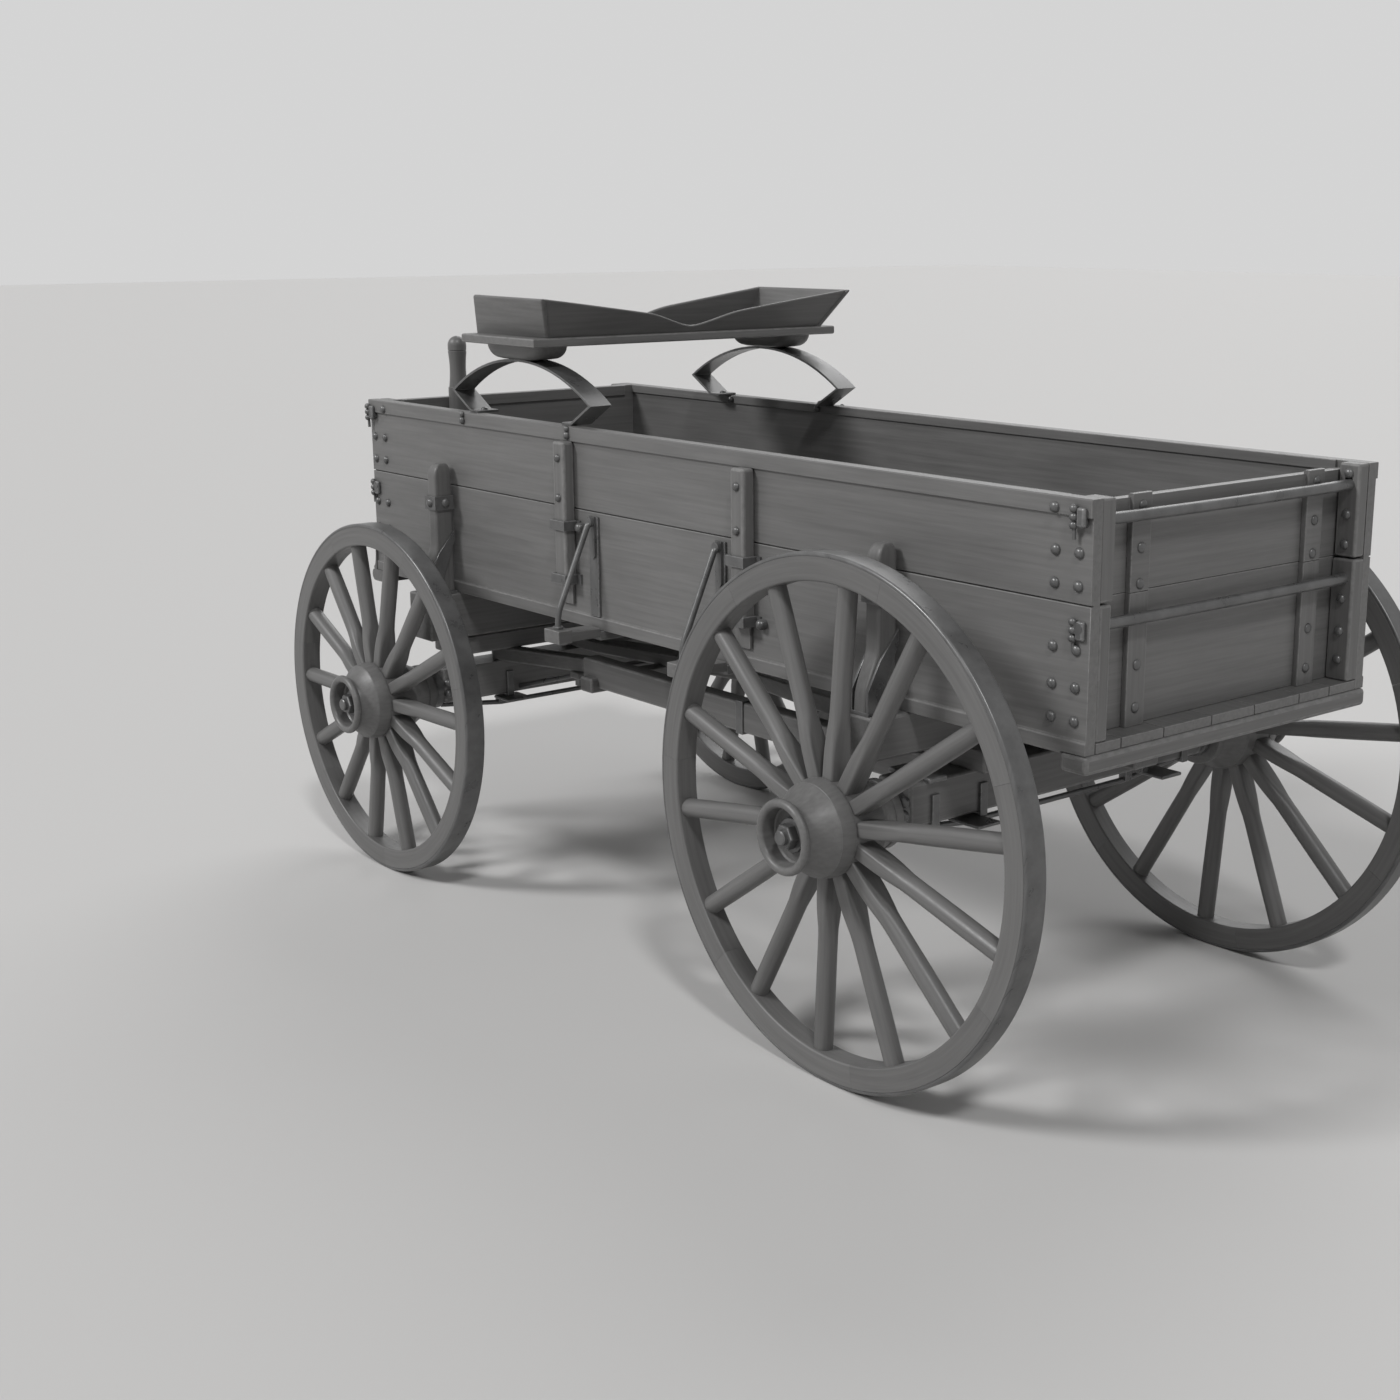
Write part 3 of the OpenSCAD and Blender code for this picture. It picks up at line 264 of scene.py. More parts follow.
def place_piece(mesh, name, body, slot, replaces):
    """Makes a mesh a piece of the wagon, on its body and in its slot."""
    mesh.shade_smooth()
    mesh.set_sharp_from_angle(angle=math.radians(SHARP_DEG))
    mesh.materials.clear()
    mesh.materials.append(MATERIALS[slot])
    piece = put(name, mesh)
    even = piece.modifiers.new("even_normals", "WEIGHTED_NORMAL")
    even.keep_sharp = True
    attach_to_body(piece, body)
    if replaces:
        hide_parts(*replaces)
    return piece


def tone_shift():
    """The shade of one board or iron against the next."""
    return rng.uniform(-TONE_SPREAD, TONE_SPREAD)


def along(points, axis):
    """Places in the timber, with the fibres along that axis and each board cut elsewhere."""
    shift = rng.uniform(0, GRAIN_SHIFT, 3)
    return np.roll(points, -axis, axis=1) + shift


def loft(rings, closed=False):
    """Points and faces between rings of points, which closed joins last to first."""
    rings = np.asarray(rings, float)
    count, around = rings.shape[:2]
    index = np.arange(count * around).reshape(count, around)
    faces = []
    for i in range(count if closed else count - 1):
        a, b = index[i], index[(i + 1) % count]
        for j in range(around):
            k = (j + 1) % around
            faces.append((a[j], a[k], b[k], b[j]))
    if not closed:
        faces.append(tuple(index[0][::-1]))
        faces.append(tuple(index[-1]))
    return rings.reshape(-1, 3), faces


def lofted(shape, rings, axis, tone=0.0):
    """Timber between rings of points, with its fibres along that axis."""
    points, faces = loft(rings)
    shape.add(points, faces, along(points, axis), tone)


def basis(normal):
    """Two directions square to a normal, and the normal."""
    normal = Vector(normal).normalized()
    first = normal.cross(Z if abs(normal.z) < STEEP else X).normalized()
    return np.array(first), np.array(normal.cross(first)), np.array(normal)


def ring(centre, u, v, radius_u, radius_v, count, power=ROUND):
    """A round, or squarer the higher its power, ring of points."""
    a = np.arange(count) * 2 * math.pi / count
    c, s = np.cos(a), np.sin(a)
    cu = np.sign(c) * np.abs(c) ** (2 / power) * radius_u
    sv = np.sign(s) * np.abs(s) ** (2 / power) * radius_v
    return np.asarray(centre, float) + cu[:, None] * np.asarray(u) + sv[:, None] * np.asarray(v)


def arc(r, h, radius, start_deg, end_deg, steps, first=0):
    """An outline's points on an arc about a place, from its step first."""
    points = []
    for i in range(first, steps + 1):
        a = math.radians(start_deg + (end_deg - start_deg) * i / steps)
        points.append((r + radius * math.cos(a), h + radius * math.sin(a)))
    return points


def taper(start, end, bend, steps):
    """An outline's points between two places, which leave the first one's radius slowly."""
    points = []
    for i in range(steps + 1):
        t = i / steps
        points.append((start[0] + (end[0] - start[0]) * t ** bend, start[1] + (end[1] - start[1]) * t))
    return points


def turned(shape, profile, centre, axis, segments=24, tone=0.0, closed=False):
    """A lathe-turned form: profile holds radius and height along the axis."""
    u, v, w = basis(axis)
    centre = np.asarray(centre, float)
    rings = []
    for r, h in profile:
        r = max(r, THINNEST)
        rings.append(ring(centre + h * w, u, v, r, r, segments))
    points, faces = loft(rings, closed)
    local = points - centre
    grain = np.stack((local @ w, local @ u, local @ v), axis=1) + centre
    shape.add(points, faces, grain, tone)


def bolt(shape, at, normal, radius, height):
    """A domed bolt head."""
    profile = [(radius * r, height * h) for r, h in DOME_STEPS]
    turned(shape, profile, at, normal, BOLT_AROUND, tone_shift())


def ball(shape, at, radius, stretch=(1.0, 1.0, 1.0)):
    """A ball, or one stretched along the axes."""
    rings = []
    for i in range(BALL_ROWS + 1):
        a = math.pi * (BALL_POLE + (1 - 2 * BALL_POLE) * i / BALL_ROWS)
        r = radius * math.sin(a)
        centre = np.asarray(at, float) + np.array((0, 0, -radius * math.cos(a) * stretch[2]))
        rings.append(ring(centre, X, Y, r * stretch[0], r * stretch[1], BALL_AROUND))
    points, faces = loft(rings)
    shape.add(points, faces, None, tone_shift())


def nut(shape, at, normal, across, height):
    """A six-sided nut with chamfered corners."""
    u, v, w = basis(normal)
    rings = []
    for r, h in NUT_STEPS:
        rings.append(ring(np.asarray(at) + w * height * h, u, v, across * r, across * r, NUT_SIDES))
    points, faces = loft(rings)
    # The top chamfer takes the paler edge colour: partly wear, partly a painted highlight.
    marks = [1.0 if i // NUT_SIDES == NUT_WEAR_AND_HIGHLIGHT_ROW else 0.0 for i in range(len(faces))]
    shape.add(points, faces, None, 0.0, marks)


def rounded_path(corners, radius):
    """A line through corners, each bend eased over that radius."""
    corners = [np.asarray(c, float) for c in corners]
    path = [corners[0]]
    for a, b, c in zip(corners, corners[1:], corners[2:]):
        back, ahead = a - b, c - b
        reach = min(radius, np.linalg.norm(back) / 2, np.linalg.norm(ahead) / 2)
        p = b + back / np.linalg.norm(back) * reach
        q = b + ahead / np.linalg.norm(ahead) * reach
        for t in np.linspace(0, 1, EASE_STEPS):
            path.append((1 - t) ** 2 * p + 2 * t * (1 - t) * b + t * t * q)
    return path + [corners[-1]]


def swept(shape, path, radius, segments=16):
    """A rod along a path."""
    path = [Vector(p) for p in path]
    ahead = (path[1] - path[0]).normalized()
    side = ahead.cross(X if abs(ahead.x) < LENGTHWISE else Z).normalized()
    rings = []
    for i, p in enumerate(path):
        near = path[max(i - 1, 0)]
        far = path[min(i + 1, len(path) - 1)]
        turn = (far - near).normalized()
        side = (side - turn * side.dot(turn)).normalized()
        rings.append(ring(p, side, turn.cross(side), radius, radius, segments))
    points, faces = loft(rings)
    shape.add(points, faces)


def rounded_over(bm, edges, width, steps):
    """Rounds edges, and marks each face as new or not; the new faces take the paler edge colour, partly
    wear and partly a painted highlight.
    """
    made = bmesh.ops.bevel(bm, geom=edges, offset=width, offset_type="OFFSET", segments=steps,
                           profile=BEVEL_PROFILE, affect="EDGES", clamp_overlap=True)
    new = set(made["faces"])
    bm.verts.index_update()
    return [1.0 if f in new else 0.0 for f in bm.faces]


def block(shape, low, high, radius, tone=0.0):
    """A block with rounded edges."""
    low, high = np.asarray(low, float), np.asarray(high, float)
    bm = bmesh.new()
    bmesh.ops.create_cube(bm, size=1.0)
    for v in bm.verts:
        v.co = Vector(low + (np.array(v.co) + 0.5) * (high - low))
    worn = rounded_over(bm, bm.edges[:], radius, FINE_STEPS)
    faces = [tuple(v.index for v in f.verts) for f in bm.faces]
    points = np.array([v.co for v in bm.verts])
    long_axis = int(np.argmax(high - low))
    shape.add(points, faces, along(points, long_axis), tone, worn)
    bm.free()


def side_block(shape, side, low, high, radius, tone=0.0):
    """A block of the left side, or its mirror image on the right."""
    ys = sorted((side * low[1], side * high[1]))
    block(shape, (low[0], ys[0], low[2]), (high[0], ys[1], high[2]), radius, tone)


def roomy(edge, width):
    """Whether both faces at an edge are wide enough to take the rounding."""
    return all(f.calc_area() / edge.calc_length() > NARROW * width for f in edge.link_faces)


def softened(node, body, slot, width, steps):
    """A CAD node with its long edges rounded over, and its grain along each piece."""
    bm = bmesh.new()
    bm.from_mesh(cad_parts[node].data)
    bmesh.ops.remove_doubles(bm, verts=bm.verts, dist=WELD)
    bmesh.ops.dissolve_limit(bm, angle_limit=math.radians(FLAT_DEG), verts=bm.verts, edges=bm.edges)
    limit = math.radians(ROUNDED_DEG)
    edges = [e for e in bm.edges if len(e.link_faces) == 2 and e.calc_face_angle(0) > limit
             and e.calc_length() > SHORTEST_EDGE and roomy(e, width)]
    worn = rounded_over(bm, edges, width, steps)
    points = np.array([v.co for v in bm.verts])
    grain = np.zeros_like(points)
    tone = np.zeros(len(points))
    for piece in islands(bm):
        here = points[piece]
        axis = int(np.argmax(here.max(0) - here.min(0)))
        grain[piece] = along(here, axis)
        tone[piece] = tone_shift()
    mesh = bpy.data.meshes.new(node + "_soft")
    bm.to_mesh(mesh)
    bm.free()
    custom = mesh.attributes.get("custom_normal")
    if custom:
        mesh.attributes.remove(custom)
    attach(mesh, grain, tone, worn)
    return place_piece(mesh, node + "_soft", body, slot, (node,))


def islands(bm):
    """Lists of point numbers, one for each connected piece."""
    seen = set()
    for first in bm.verts:
        if first.index in seen:
            continue
        piece, queue = [], [first]
        seen.add(first.index)
        while queue:
            v = queue.pop()
            piece.append(v.index)
            for e in v.link_edges:
                w = e.other_vert(v)
                if w.index not in seen:
                    seen.add(w.index)
                    queue.append(w)
        yield piece


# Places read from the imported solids

BODY = "wagon"
FRONT = "front_gear"
TRIM = 0.008
rail_low, rail_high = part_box("side_upper_left")
box_rear, box_front = rail_low.x, rail_high.x
rail_y, top_z, split_z = rail_high.y, rail_high.z, rail_low.z
side_y = rail_y - TRIM
box_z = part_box("side_lower_left")[0].z

# Plain timber and iron, from the solids with their edges rounded

SOFT_NODES = (
    (BODY, "box_wood", FINE_STEPS, (
        ("floor_boards", 0.008), ("side_lower_left", 0.0024), ("side_lower_right", 0.0024),
        ("side_upper_left", 0.0024), ("side_upper_right", 0.0024), ("inner_rails", 0.0025),
        ("front_board_lower", 0.003), ("front_board_upper", 0.003), ("seat_plank", 0.005))),
    (BODY, "gear_wood", FINE_STEPS, (
        ("rear_sill", 0.011), ("middle_sills", 0.007), ("corner_cleats", 0.007),
        ("front_bolster", 0.009), ("rear_bolster", 0.009), ("reach", 0.007), ("rear_hounds", 0.007),
        ("rear_axle", 0.009))),
    (FRONT, "gear_wood", FINE_STEPS, (
        ("front_axle", 0.009), ("sand_bolster", 0.007), ("front_hounds", 0.007),
        ("sway_bar", 0.005))),
    (BODY, "iron", PLAIN_STEPS, (
        ("post_straps", 0.003), ("brace_plates", 0.003), ("seat_springs", 0.002),
        ("stake_bands", 0.0025), ("rear_clips", 0.0025), ("rear_truss", 0.002), ("king_bolt", 0.002))),
    (FRONT, "iron", PLAIN_STEPS, (
        ("front_clips", 0.0025), ("front_truss", 0.002), ("hound_braces", 0.002))),
    (BODY, "box_wood", FINE_STEPS, (("side_posts", 0.009),)),
    ("lower_gate", "box_wood", PLAIN_STEPS, (("gate_lower", 0.0032),)),
    ("upper_gate", "box_wood", PLAIN_STEPS, (("gate_upper", 0.0032),)),
)
for body, slot, steps, rows in SOFT_NODES:
    for name, width in rows:
        softened(name, body, slot, width, steps)

# Loose tongues that close the joints between the floor boards

SEAM_W_SHARE = 3.0
SEAM_H = 0.007
SEAM_END = 0.004
SEAM_ROUND = SEAM_H / 8
floor_bm = bmesh.new()
floor_bm.from_mesh(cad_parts["floor_boards"].data)
bmesh.ops.remove_doubles(floor_bm, verts=floor_bm.verts, dist=WELD)
floor_bm.verts.index_update()
floor_points = np.array([v.co for v in floor_bm.verts])
boards = [floor_points[piece] for piece in islands(floor_bm)]
floor_bm.free()
boards.sort(key=lambda b: b[:, 1].min())
floor_tongues = Shape()
for right, left in zip(boards, boards[1:]):
    seam_low, seam_high = right[:, 1].max(), left[:, 1].min()
    half_w = (seam_high - seam_low) * SEAM_W_SHARE / 2
    mid_y = (seam_low + seam_high) / 2
    mid_z = (right[:, 2].min() + right[:, 2].max()) / 2
    low = (right[:, 0].min() + SEAM_END, mid_y - half_w, mid_z - SEAM_H / 2)
    high = (right[:, 0].max() - SEAM_END, mid_y + half_w, mid_z + SEAM_H / 2)
    block(floor_tongues, low, high, SEAM_ROUND)
floor_tongues.make("floor_tongues", BODY, "box_wood")

# Wheels

WHEELS = {"rl": 1, "rr": -1, "fl": 1, "fr": -1}
SPOKES = 14
FELLOES = 7
FELLOE_GAP = 0.0002
FELLOE_STEPS = 22
FELLOE_SHIFT = 3.7
FELLOE_D = 0.060
FELLOE_SOFT = (0.006, 0.0012)
TYRE_STEPS = 168
TYRE_T = 0.010
TYRE_LAP = 0.0003
TYRE_SOFT = (0.001, 0.0068)
RIM_HALF = 0.0325
RIM_SOFT_STEPS = 4
HUB_R = 0.120
HUB_BACK_R = 0.116
HUB_GROOVE_R = 0.115
HUB_NECK_R = 0.080
HUB_END_R = 0.0934
HUB_RING = 0.0115
HUB_RING_STEPS, HUB_RING_FIRST, HUB_RING_BACK_STEPS = 12, 2, 5
HUB_RECESS_R = 0.070
HUB_RECESS_D = 0.045
HUB_RECESS_SOFT = 0.004
HUB_BORE = 0.0353
HUB_IN = 0.147
HUB_BAND_IN = 0.039
HUB_GROOVE = 0.0785
HUB_GROOVE_W = 0.0016
HUB_BACK_BAND = ((HUB_BORE, 0.0), (0.082, 0.0), (0.0865, 0.002), (0.088, 0.006), (0.088, 0.021),
                 (0.0865, 0.025), (0.0845, 0.026))
HUB_BACK_CONE = ((0.0845, 0.027), (HUB_BACK_R, 0.089))
HUB_SHOULDER = ((HUB_BACK_R, -0.0565), (0.1185, -0.0555), (HUB_R, -0.053), (HUB_R, HUB_BAND_IN),
                (0.1214, HUB_BAND_IN), (0.1226, 0.0402))
HUB_BELL = ((0.123, 0.043), (0.1164, HUB_GROOVE))
HUB_CONE_BEND, HUB_BELL_BEND = 1.4, 1.5
HUB_BACK_ROWS, HUB_BELL_ROWS, HUB_CONE_ROWS = 8, 6, 14
HUB_SEGMENTS = 72
HUB_TONE = 0.02
SPOKE_AROUND = 24
SPOKE_ROWS = 20
SPOKE_SINK = 0.004
SPOKE_FOOT_HALF = (0.0200, 0.030)
SPOKE_FOOT_OUT = 0.007
SPOKE_ROUND = 0.0245
SPOKE_EASE = (0.14, 0.42)
SPOKE_SQUARE = 6.5
SPOKE_SQUARE_RUN = (0.08, 0.34)
SPOKE_SWELL = 0.02
SPOKE_SWELL_RUN = (0.4, 1.0)
SPOKE_SHIFT = 9
SPOKE_TURN_DEG = {"r": 4.0, "f": 12.0}


def smooth(t, start, end):
    """A rise from 0 at start to 1 at end, soft at both."""
    t = min(1.0, max(0.0, (t - start) / (end - start)))
    return t * t * (3 - 2 * t)


def wheel_point(centre, side, a, b, h):
    """A point in the wheel's plane, moved out along its axle."""
    return (centre[0] + a, centre[1] + side * h, centre[2] + b)


def rim_profile(inner, outer, soft_in, soft_out):
    """A closed outline of a rim in radius and height with rounded corners."""
    low, high = -RIM_HALF, RIM_HALF
    corners = ((inner + soft_in, low + soft_in, soft_in, 180),
               (outer - soft_out, low + soft_out, soft_out, 270),
               (outer - soft_out, high - soft_out, soft_out, 0),
               (inner + soft_in, high - soft_in, soft_in, 90))
    outline = []
    for r, h, soft, start in corners:
        outline += arc(r, h, soft, start, start + 90, RIM_SOFT_STEPS)
    return outline


def rim_arc(shape, outline, centre, side, start, end, steps, closed, tone, offset):
    """A stretch of a rim, or the whole of it, with that outline."""
    rings, grain = [], []
    for i in range(steps):
        a = start + (end - start) * i / (steps if closed else steps - 1)
        c, s = math.cos(a), math.sin(a)
        rings.append([wheel_point(centre, side, r * c, r * s, h) for r, h in outline])
        grain += [(a * r + offset, r, h + offset) for r, h in outline]
    points, faces = loft(rings, closed)
    shape.add(points, faces, grain, tone)


def hub_profile(out):
    """The turned hub, from the bore's inner end round the outside to the bore again."""
    outline = [(r, h - HUB_IN) for r, h in HUB_BACK_BAND]
    outline += [(r, h - HUB_IN) for r, h in taper(*HUB_BACK_CONE, HUB_CONE_BEND, HUB_BACK_ROWS)]
    outline += HUB_SHOULDER
    outline += taper(*HUB_BELL, HUB_BELL_BEND, HUB_BELL_ROWS)
    outline.append((HUB_GROOVE_R, HUB_GROOVE + HUB_GROOVE_W / 2))
    neck = (HUB_NECK_R, out - 2 * HUB_RING)
    foot = (HUB_GROOVE_R, HUB_GROOVE + HUB_GROOVE_W)
    outline += taper(neck, foot, HUB_CONE_BEND, HUB_CONE_ROWS)[::-1]
    bead = (HUB_END_R - HUB_RING, out - HUB_RING, HUB_RING)
    outline += arc(*bead, -90, 90, HUB_RING_STEPS, HUB_RING_FIRST)
    outline += arc(*bead, 90, 180, HUB_RING_BACK_STEPS, 1)
    recess = out - HUB_RECESS_D
    outline += [(HUB_RECESS_R, recess + HUB_RECESS_SOFT), (HUB_RECESS_R - HUB_RECESS_SOFT, recess),
                (HUB_BORE, recess)]
    return outline


def spoke_rings(centre, side, angle, inner, outer):
    """Square at the foot, round from the middle outwards, slightly fuller before the rim."""
    c, s = math.cos(angle), math.sin(angle)
    rings, grain = [], []
    offset = rng.uniform(0, SPOKE_SHIFT)
    for i in range(SPOKE_ROWS):
        t = i / (SPOKE_ROWS - 1)
        r = inner + (outer - inner) * t
        ease = smooth(t, *SPOKE_EASE)
        lean = SPOKE_FOOT_OUT * (1 - t)
        swell = 1 + SPOKE_SWELL * math.sin(math.pi * smooth(t, *SPOKE_SWELL_RUN))
        wide, deep = ((half + (SPOKE_ROUND - half) * ease) * swell for half in SPOKE_FOOT_HALF)
        power = SPOKE_SQUARE + (ROUND - SPOKE_SQUARE) * smooth(t, *SPOKE_SQUARE_RUN)
        loop = ring((0, 0, 0), X, Y, wide, deep, SPOKE_AROUND, power)
        rings.append([wheel_point(centre, side, c * r - s * p[0], s * r + c * p[0], p[1] + lean)
                      for p in loop])
        grain += [(r + offset, p[0], p[1] + offset) for p in loop]
    return rings, grain


wheel_places = {}
for key, side in WHEELS.items():
    body = "wheel_" + key
    low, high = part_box("tyre_" + key)
    centre = np.array((low + high) / 2)
    radius = (high.z - low.z) / 2
    felloe_r = radius - TYRE_T
    spoke_r = felloe_r - FELLOE_D
    hub_low, hub_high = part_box("hub_" + key)
    out = (hub_high.y - centre[1]) if side > 0 else (centre[1] - hub_low.y)
    wheel_places[key] = (centre, out)

    tyre = Shape()
    outline = rim_profile(felloe_r + TYRE_LAP, radius, *TYRE_SOFT)
    rim_arc(tyre, outline, centre, side, 0, 2 * math.pi, TYRE_STEPS, True, 0.0, 0.0)
    tyre.make("tyre_%s_iron" % key, body, "iron", ("tyre_" + key,))

    felloes = Shape()
    outline = rim_profile(spoke_r, felloe_r, *FELLOE_SOFT)
    half_gap = FELLOE_GAP / radius
    pitch = 2 * math.pi / FELLOES
    first = math.pi / 2 + math.radians(SPOKE_TURN_DEG[key[0]])
    joint = first + math.pi / SPOKES
    for i in range(FELLOES):
        start = joint + i * pitch + half_gap
        end = start + pitch - 2 * half_gap
        rim_arc(felloes, outline, centre, side, start, end, FELLOE_STEPS, False, tone_shift(),
                i * FELLOE_SHIFT)
    felloes.make("felloes_%s_timber" % key, body, "gear_wood", ("felloes_" + key,))

    spokes = Shape()
    for i in range(SPOKES):
        angle = first + i * 2 * math.pi / SPOKES
        rings, grain = spoke_rings(centre, side, angle, HUB_R - SPOKE_SINK, spoke_r + SPOKE_SINK)
        points, faces = loft(rings)
        spokes.add(points, faces, grain, tone_shift())
    spokes.make("spokes_%s_timber" % key, body, "gear_wood", ("spokes_" + key,))

    hub = Shape()
    turned(hub, hub_profile(out), centre, Y * side, HUB_SEGMENTS, HUB_TONE, closed=True)
    hub.make("hub_%s_timber" % key, body, "gear_wood", ("hub_" + key,))

# Skeins: root band, collar, arm, washer, nut and thread. Steps hold radius and height past a face

ARM_R = 0.035
AXLE_END_IN = 0.190
SWIVEL = 0.005
WASHER_T = 0.006
NUT_R = 0.032
NUT_T = 0.024
ROOT_STEPS = ((0.02, 0.0), (0.060, 0.0), (0.0605, 0.004))
COLLAR_STEPS = ((0.058, -0.017), (0.062, -0.014), (0.063, -0.011), (0.063, -0.003), (0.060, 0.0),
                (ARM_R, 0.0))
WASHER_STEPS = ((ARM_R, 0.0), (0.041, 0.0), (0.042, 0.001), (0.042, 0.005), (0.041, WASHER_T),
                (0.02, WASHER_T))
THREAD_STEPS = ((0.019, -0.004), (0.019, 0.009), (0.016, 0.012), (0.002, 0.012))
SKEIN_AROUND = 48


def skein(shape, centre, side, out):
    """The iron arm at one end of an axle, with the nut that holds the wheel."""
    collar = -HUB_IN - SWIVEL
    seat = out - HUB_RECESS_D + SWIVEL
    outline = []
    for face, steps in ((-AXLE_END_IN, ROOT_STEPS), (collar, COLLAR_STEPS), (seat, WASHER_STEPS)):
        outline += [(r, face + h) for r, h in steps]
    turned(shape, outline, centre, Y * side, SKEIN_AROUND)
    nut_foot = np.asarray(centre) + np.array((0, side * (seat + WASHER_T), 0))
    nut(shape, nut_foot, Y * side, NUT_R, NUT_T)
    turned(shape, THREAD_STEPS, nut_foot + np.array((0, side * NUT_T, 0)), Y * side)


rear_skeins, front_skeins = Shape(), Shape()
for key, side in WHEELS.items():
    centre, out = wheel_places[key]
    skein(rear_skeins if key[0] == "r" else front_skeins, centre, side, out)
rear_skeins.make("rear_skeins_iron", BODY, "iron", ("rear_skeins",))
front_skeins.make("front_skeins_iron", FRONT, "iron", ("front_skeins",))

# Front nose: moulded cross piece with a bead, a cove and a small top bead

NOSE_BEAD = 0.0205
NOSE_BEAD_STEPS, NOSE_TOP_BEAD_STEPS = 12, 8
NOSE_STEP = 0.013
NOSE_FILLET = (0.001, 0.006)
NOSE_COVE = 0.016
NOSE_COVE_FOOT, NOSE_COVE_HEAD = 0.008, 0.004
NOSE_COVE_ROWS = 8
NOSE_TOP_BEAD = 0.009
END_SILL_RISE = 0.005
nose_low, nose_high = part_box("front_nose")


def nose_outline():
    """The nose's section, in length and height."""
    back, front, low, high = nose_low.x, nose_high.x, nose_low.z, nose_high.z
    step = front - NOSE_STEP
    bead_top = low + 2 * NOSE_BEAD
    foot = bead_top + NOSE_COVE_FOOT
    head = high - 2 * NOSE_TOP_BEAD - NOSE_COVE_HEAD
    outline = [(back, low)]
    outline += arc(front - NOSE_BEAD, low + NOSE_BEAD, NOSE_BEAD, -90, 90, NOSE_BEAD_STEPS)
    outline += [(step, bead_top + h) for h in NOSE_FILLET]
    for i in range(NOSE_COVE_ROWS + 1):
        a = math.pi / 2 * i / NOSE_COVE_ROWS
        outline.append((step - NOSE_COVE * math.sin(a), foot + (head - foot) * (1 - math.cos(a))))
    outline += arc(step - NOSE_COVE, high - NOSE_TOP_BEAD, NOSE_TOP_BEAD, -90, 90, NOSE_TOP_BEAD_STEPS)
    sill_z = box_z + END_SILL_RISE
    outline += [(box_front, high), (box_front, sill_z), (back, sill_z)]
    return outline


nose = Shape()
outline = nose_outline()
lofted(nose, [[(x, y, z) for x, z in outline] for y in (nose_low.y, nose_high.y)], 1)
nose.make("front_nose_timber", BODY, "gear_wood", ("front_nose",))

# End rods with a slight bow and a round head at the right

ROD_R = 0.0140
ROD_BOW = 0.003
ROD_ROWS = 24
ROD_DROPS = (0.041, 0.293)
ROD_SAGS = (0.011, -0.005)
ROD_END_IN = 0.006
ROD_HEAD_IN = 0.012
ROD_HEAD_R = 0.016
rod_low, rod_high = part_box("end_rods")
rod_xs = (rod_low.x + ROD_R, rod_high.x - ROD_R)
rods = Shape()
for x in rod_xs:
    for drop, sag in zip(ROD_DROPS, ROD_SAGS):
        z = top_z - drop - sag
        path = []
        for i in range(ROD_ROWS + 1):
            t = i / ROD_ROWS
            y = rod_low.y + ROD_END_IN + (rod_high.y - rod_low.y - 2 * ROD_END_IN) * t
            path.append((x, y, z - ROD_BOW * math.sin(math.pi * t)))
        swept(rods, path, ROD_R)
        ball(rods, (x, rod_low.y + ROD_HEAD_IN, z), ROD_HEAD_R)
rods.make("end_rods_iron", BODY, "iron", ("end_rods",))

# Latches at the rods' ends, on both sides: a rounded plate, three knobs and a tail

LATCH_HALF = (0.012, 0.007, 0.022)
LATCH_ROUND = 0.006
LATCH_BACK = 0.004
LATCH_OUT = 0.006
LATCH_KNOB_R = 0.0105
LATCH_KNOB_STRETCH = (1.0, 0.9, 0.95)
LATCH_KNOB_DX, LATCH_KNOB_OUT, LATCH_KNOB_PITCH = 0.017, 0.009, 0.0185
LATCH_TAIL = ((0.006, 0.024), (0.005, 0.05))
LATCH_TAIL_R = 0.0045
LATCH_TAIL_AROUND = 10
latches = Shape()
for side in SIDES:
    for x in rod_xs:
        knob_x = x + LATCH_KNOB_DX
        for drop, face in zip(ROD_DROPS, (rail_y, side_y)):
            z = top_z - drop
            mid = np.array((x - LATCH_BACK, side * (face + LATCH_OUT), z))
            block(latches, mid - LATCH_HALF, mid + LATCH_HALF, LATCH_ROUND)
            knob_y = side * (face + LATCH_KNOB_OUT)
            for i in (-1, 0, 1):
                at = (knob_x, knob_y, z + i * LATCH_KNOB_PITCH)
                ball(latches, at, LATCH_KNOB_R, LATCH_KNOB_STRETCH)
            tail = [(knob_x, side * (face + away), z - down) for away, down in LATCH_TAIL]
            swept(latches, tail, LATCH_TAIL_R, LATCH_TAIL_AROUND)
latches.make("rod_latches", BODY, "iron")

# Bolts of the corners, the gates and the cleats

BOLT_R, BOLT_H = 0.0135, 0.011
BOLT_SINK = 0.0005
CORNER_HEIGHTS = (1.363, 1.289, 1.146, 1.060, 0.983)
REAR_COLUMNS = (0.038, 0.108)
FRONT_COLUMNS = (0.025, 0.091)
RAIL_BOLT_Z = 1.458
RAIL_BOLT_BACK = 0.010
bolts = Shape()
columns = [box_rear + c for c in REAR_COLUMNS] + [box_front - c for c in FRONT_COLUMNS]
for side in SIDES:
    for x in columns:
        for z in CORNER_HEIGHTS:
            bolt(bolts, (x, side * (side_y - BOLT_SINK), z), Y * side, BOLT_R, BOLT_H)
    for x in (columns[1], columns[-1] - RAIL_BOLT_BACK):
        bolt(bolts, (x, side * (rail_y - BOLT_SINK), RAIL_BOLT_Z), Y * side, BOLT_R, BOLT_H)
bolts.make("corner_bolts", BODY, "iron")

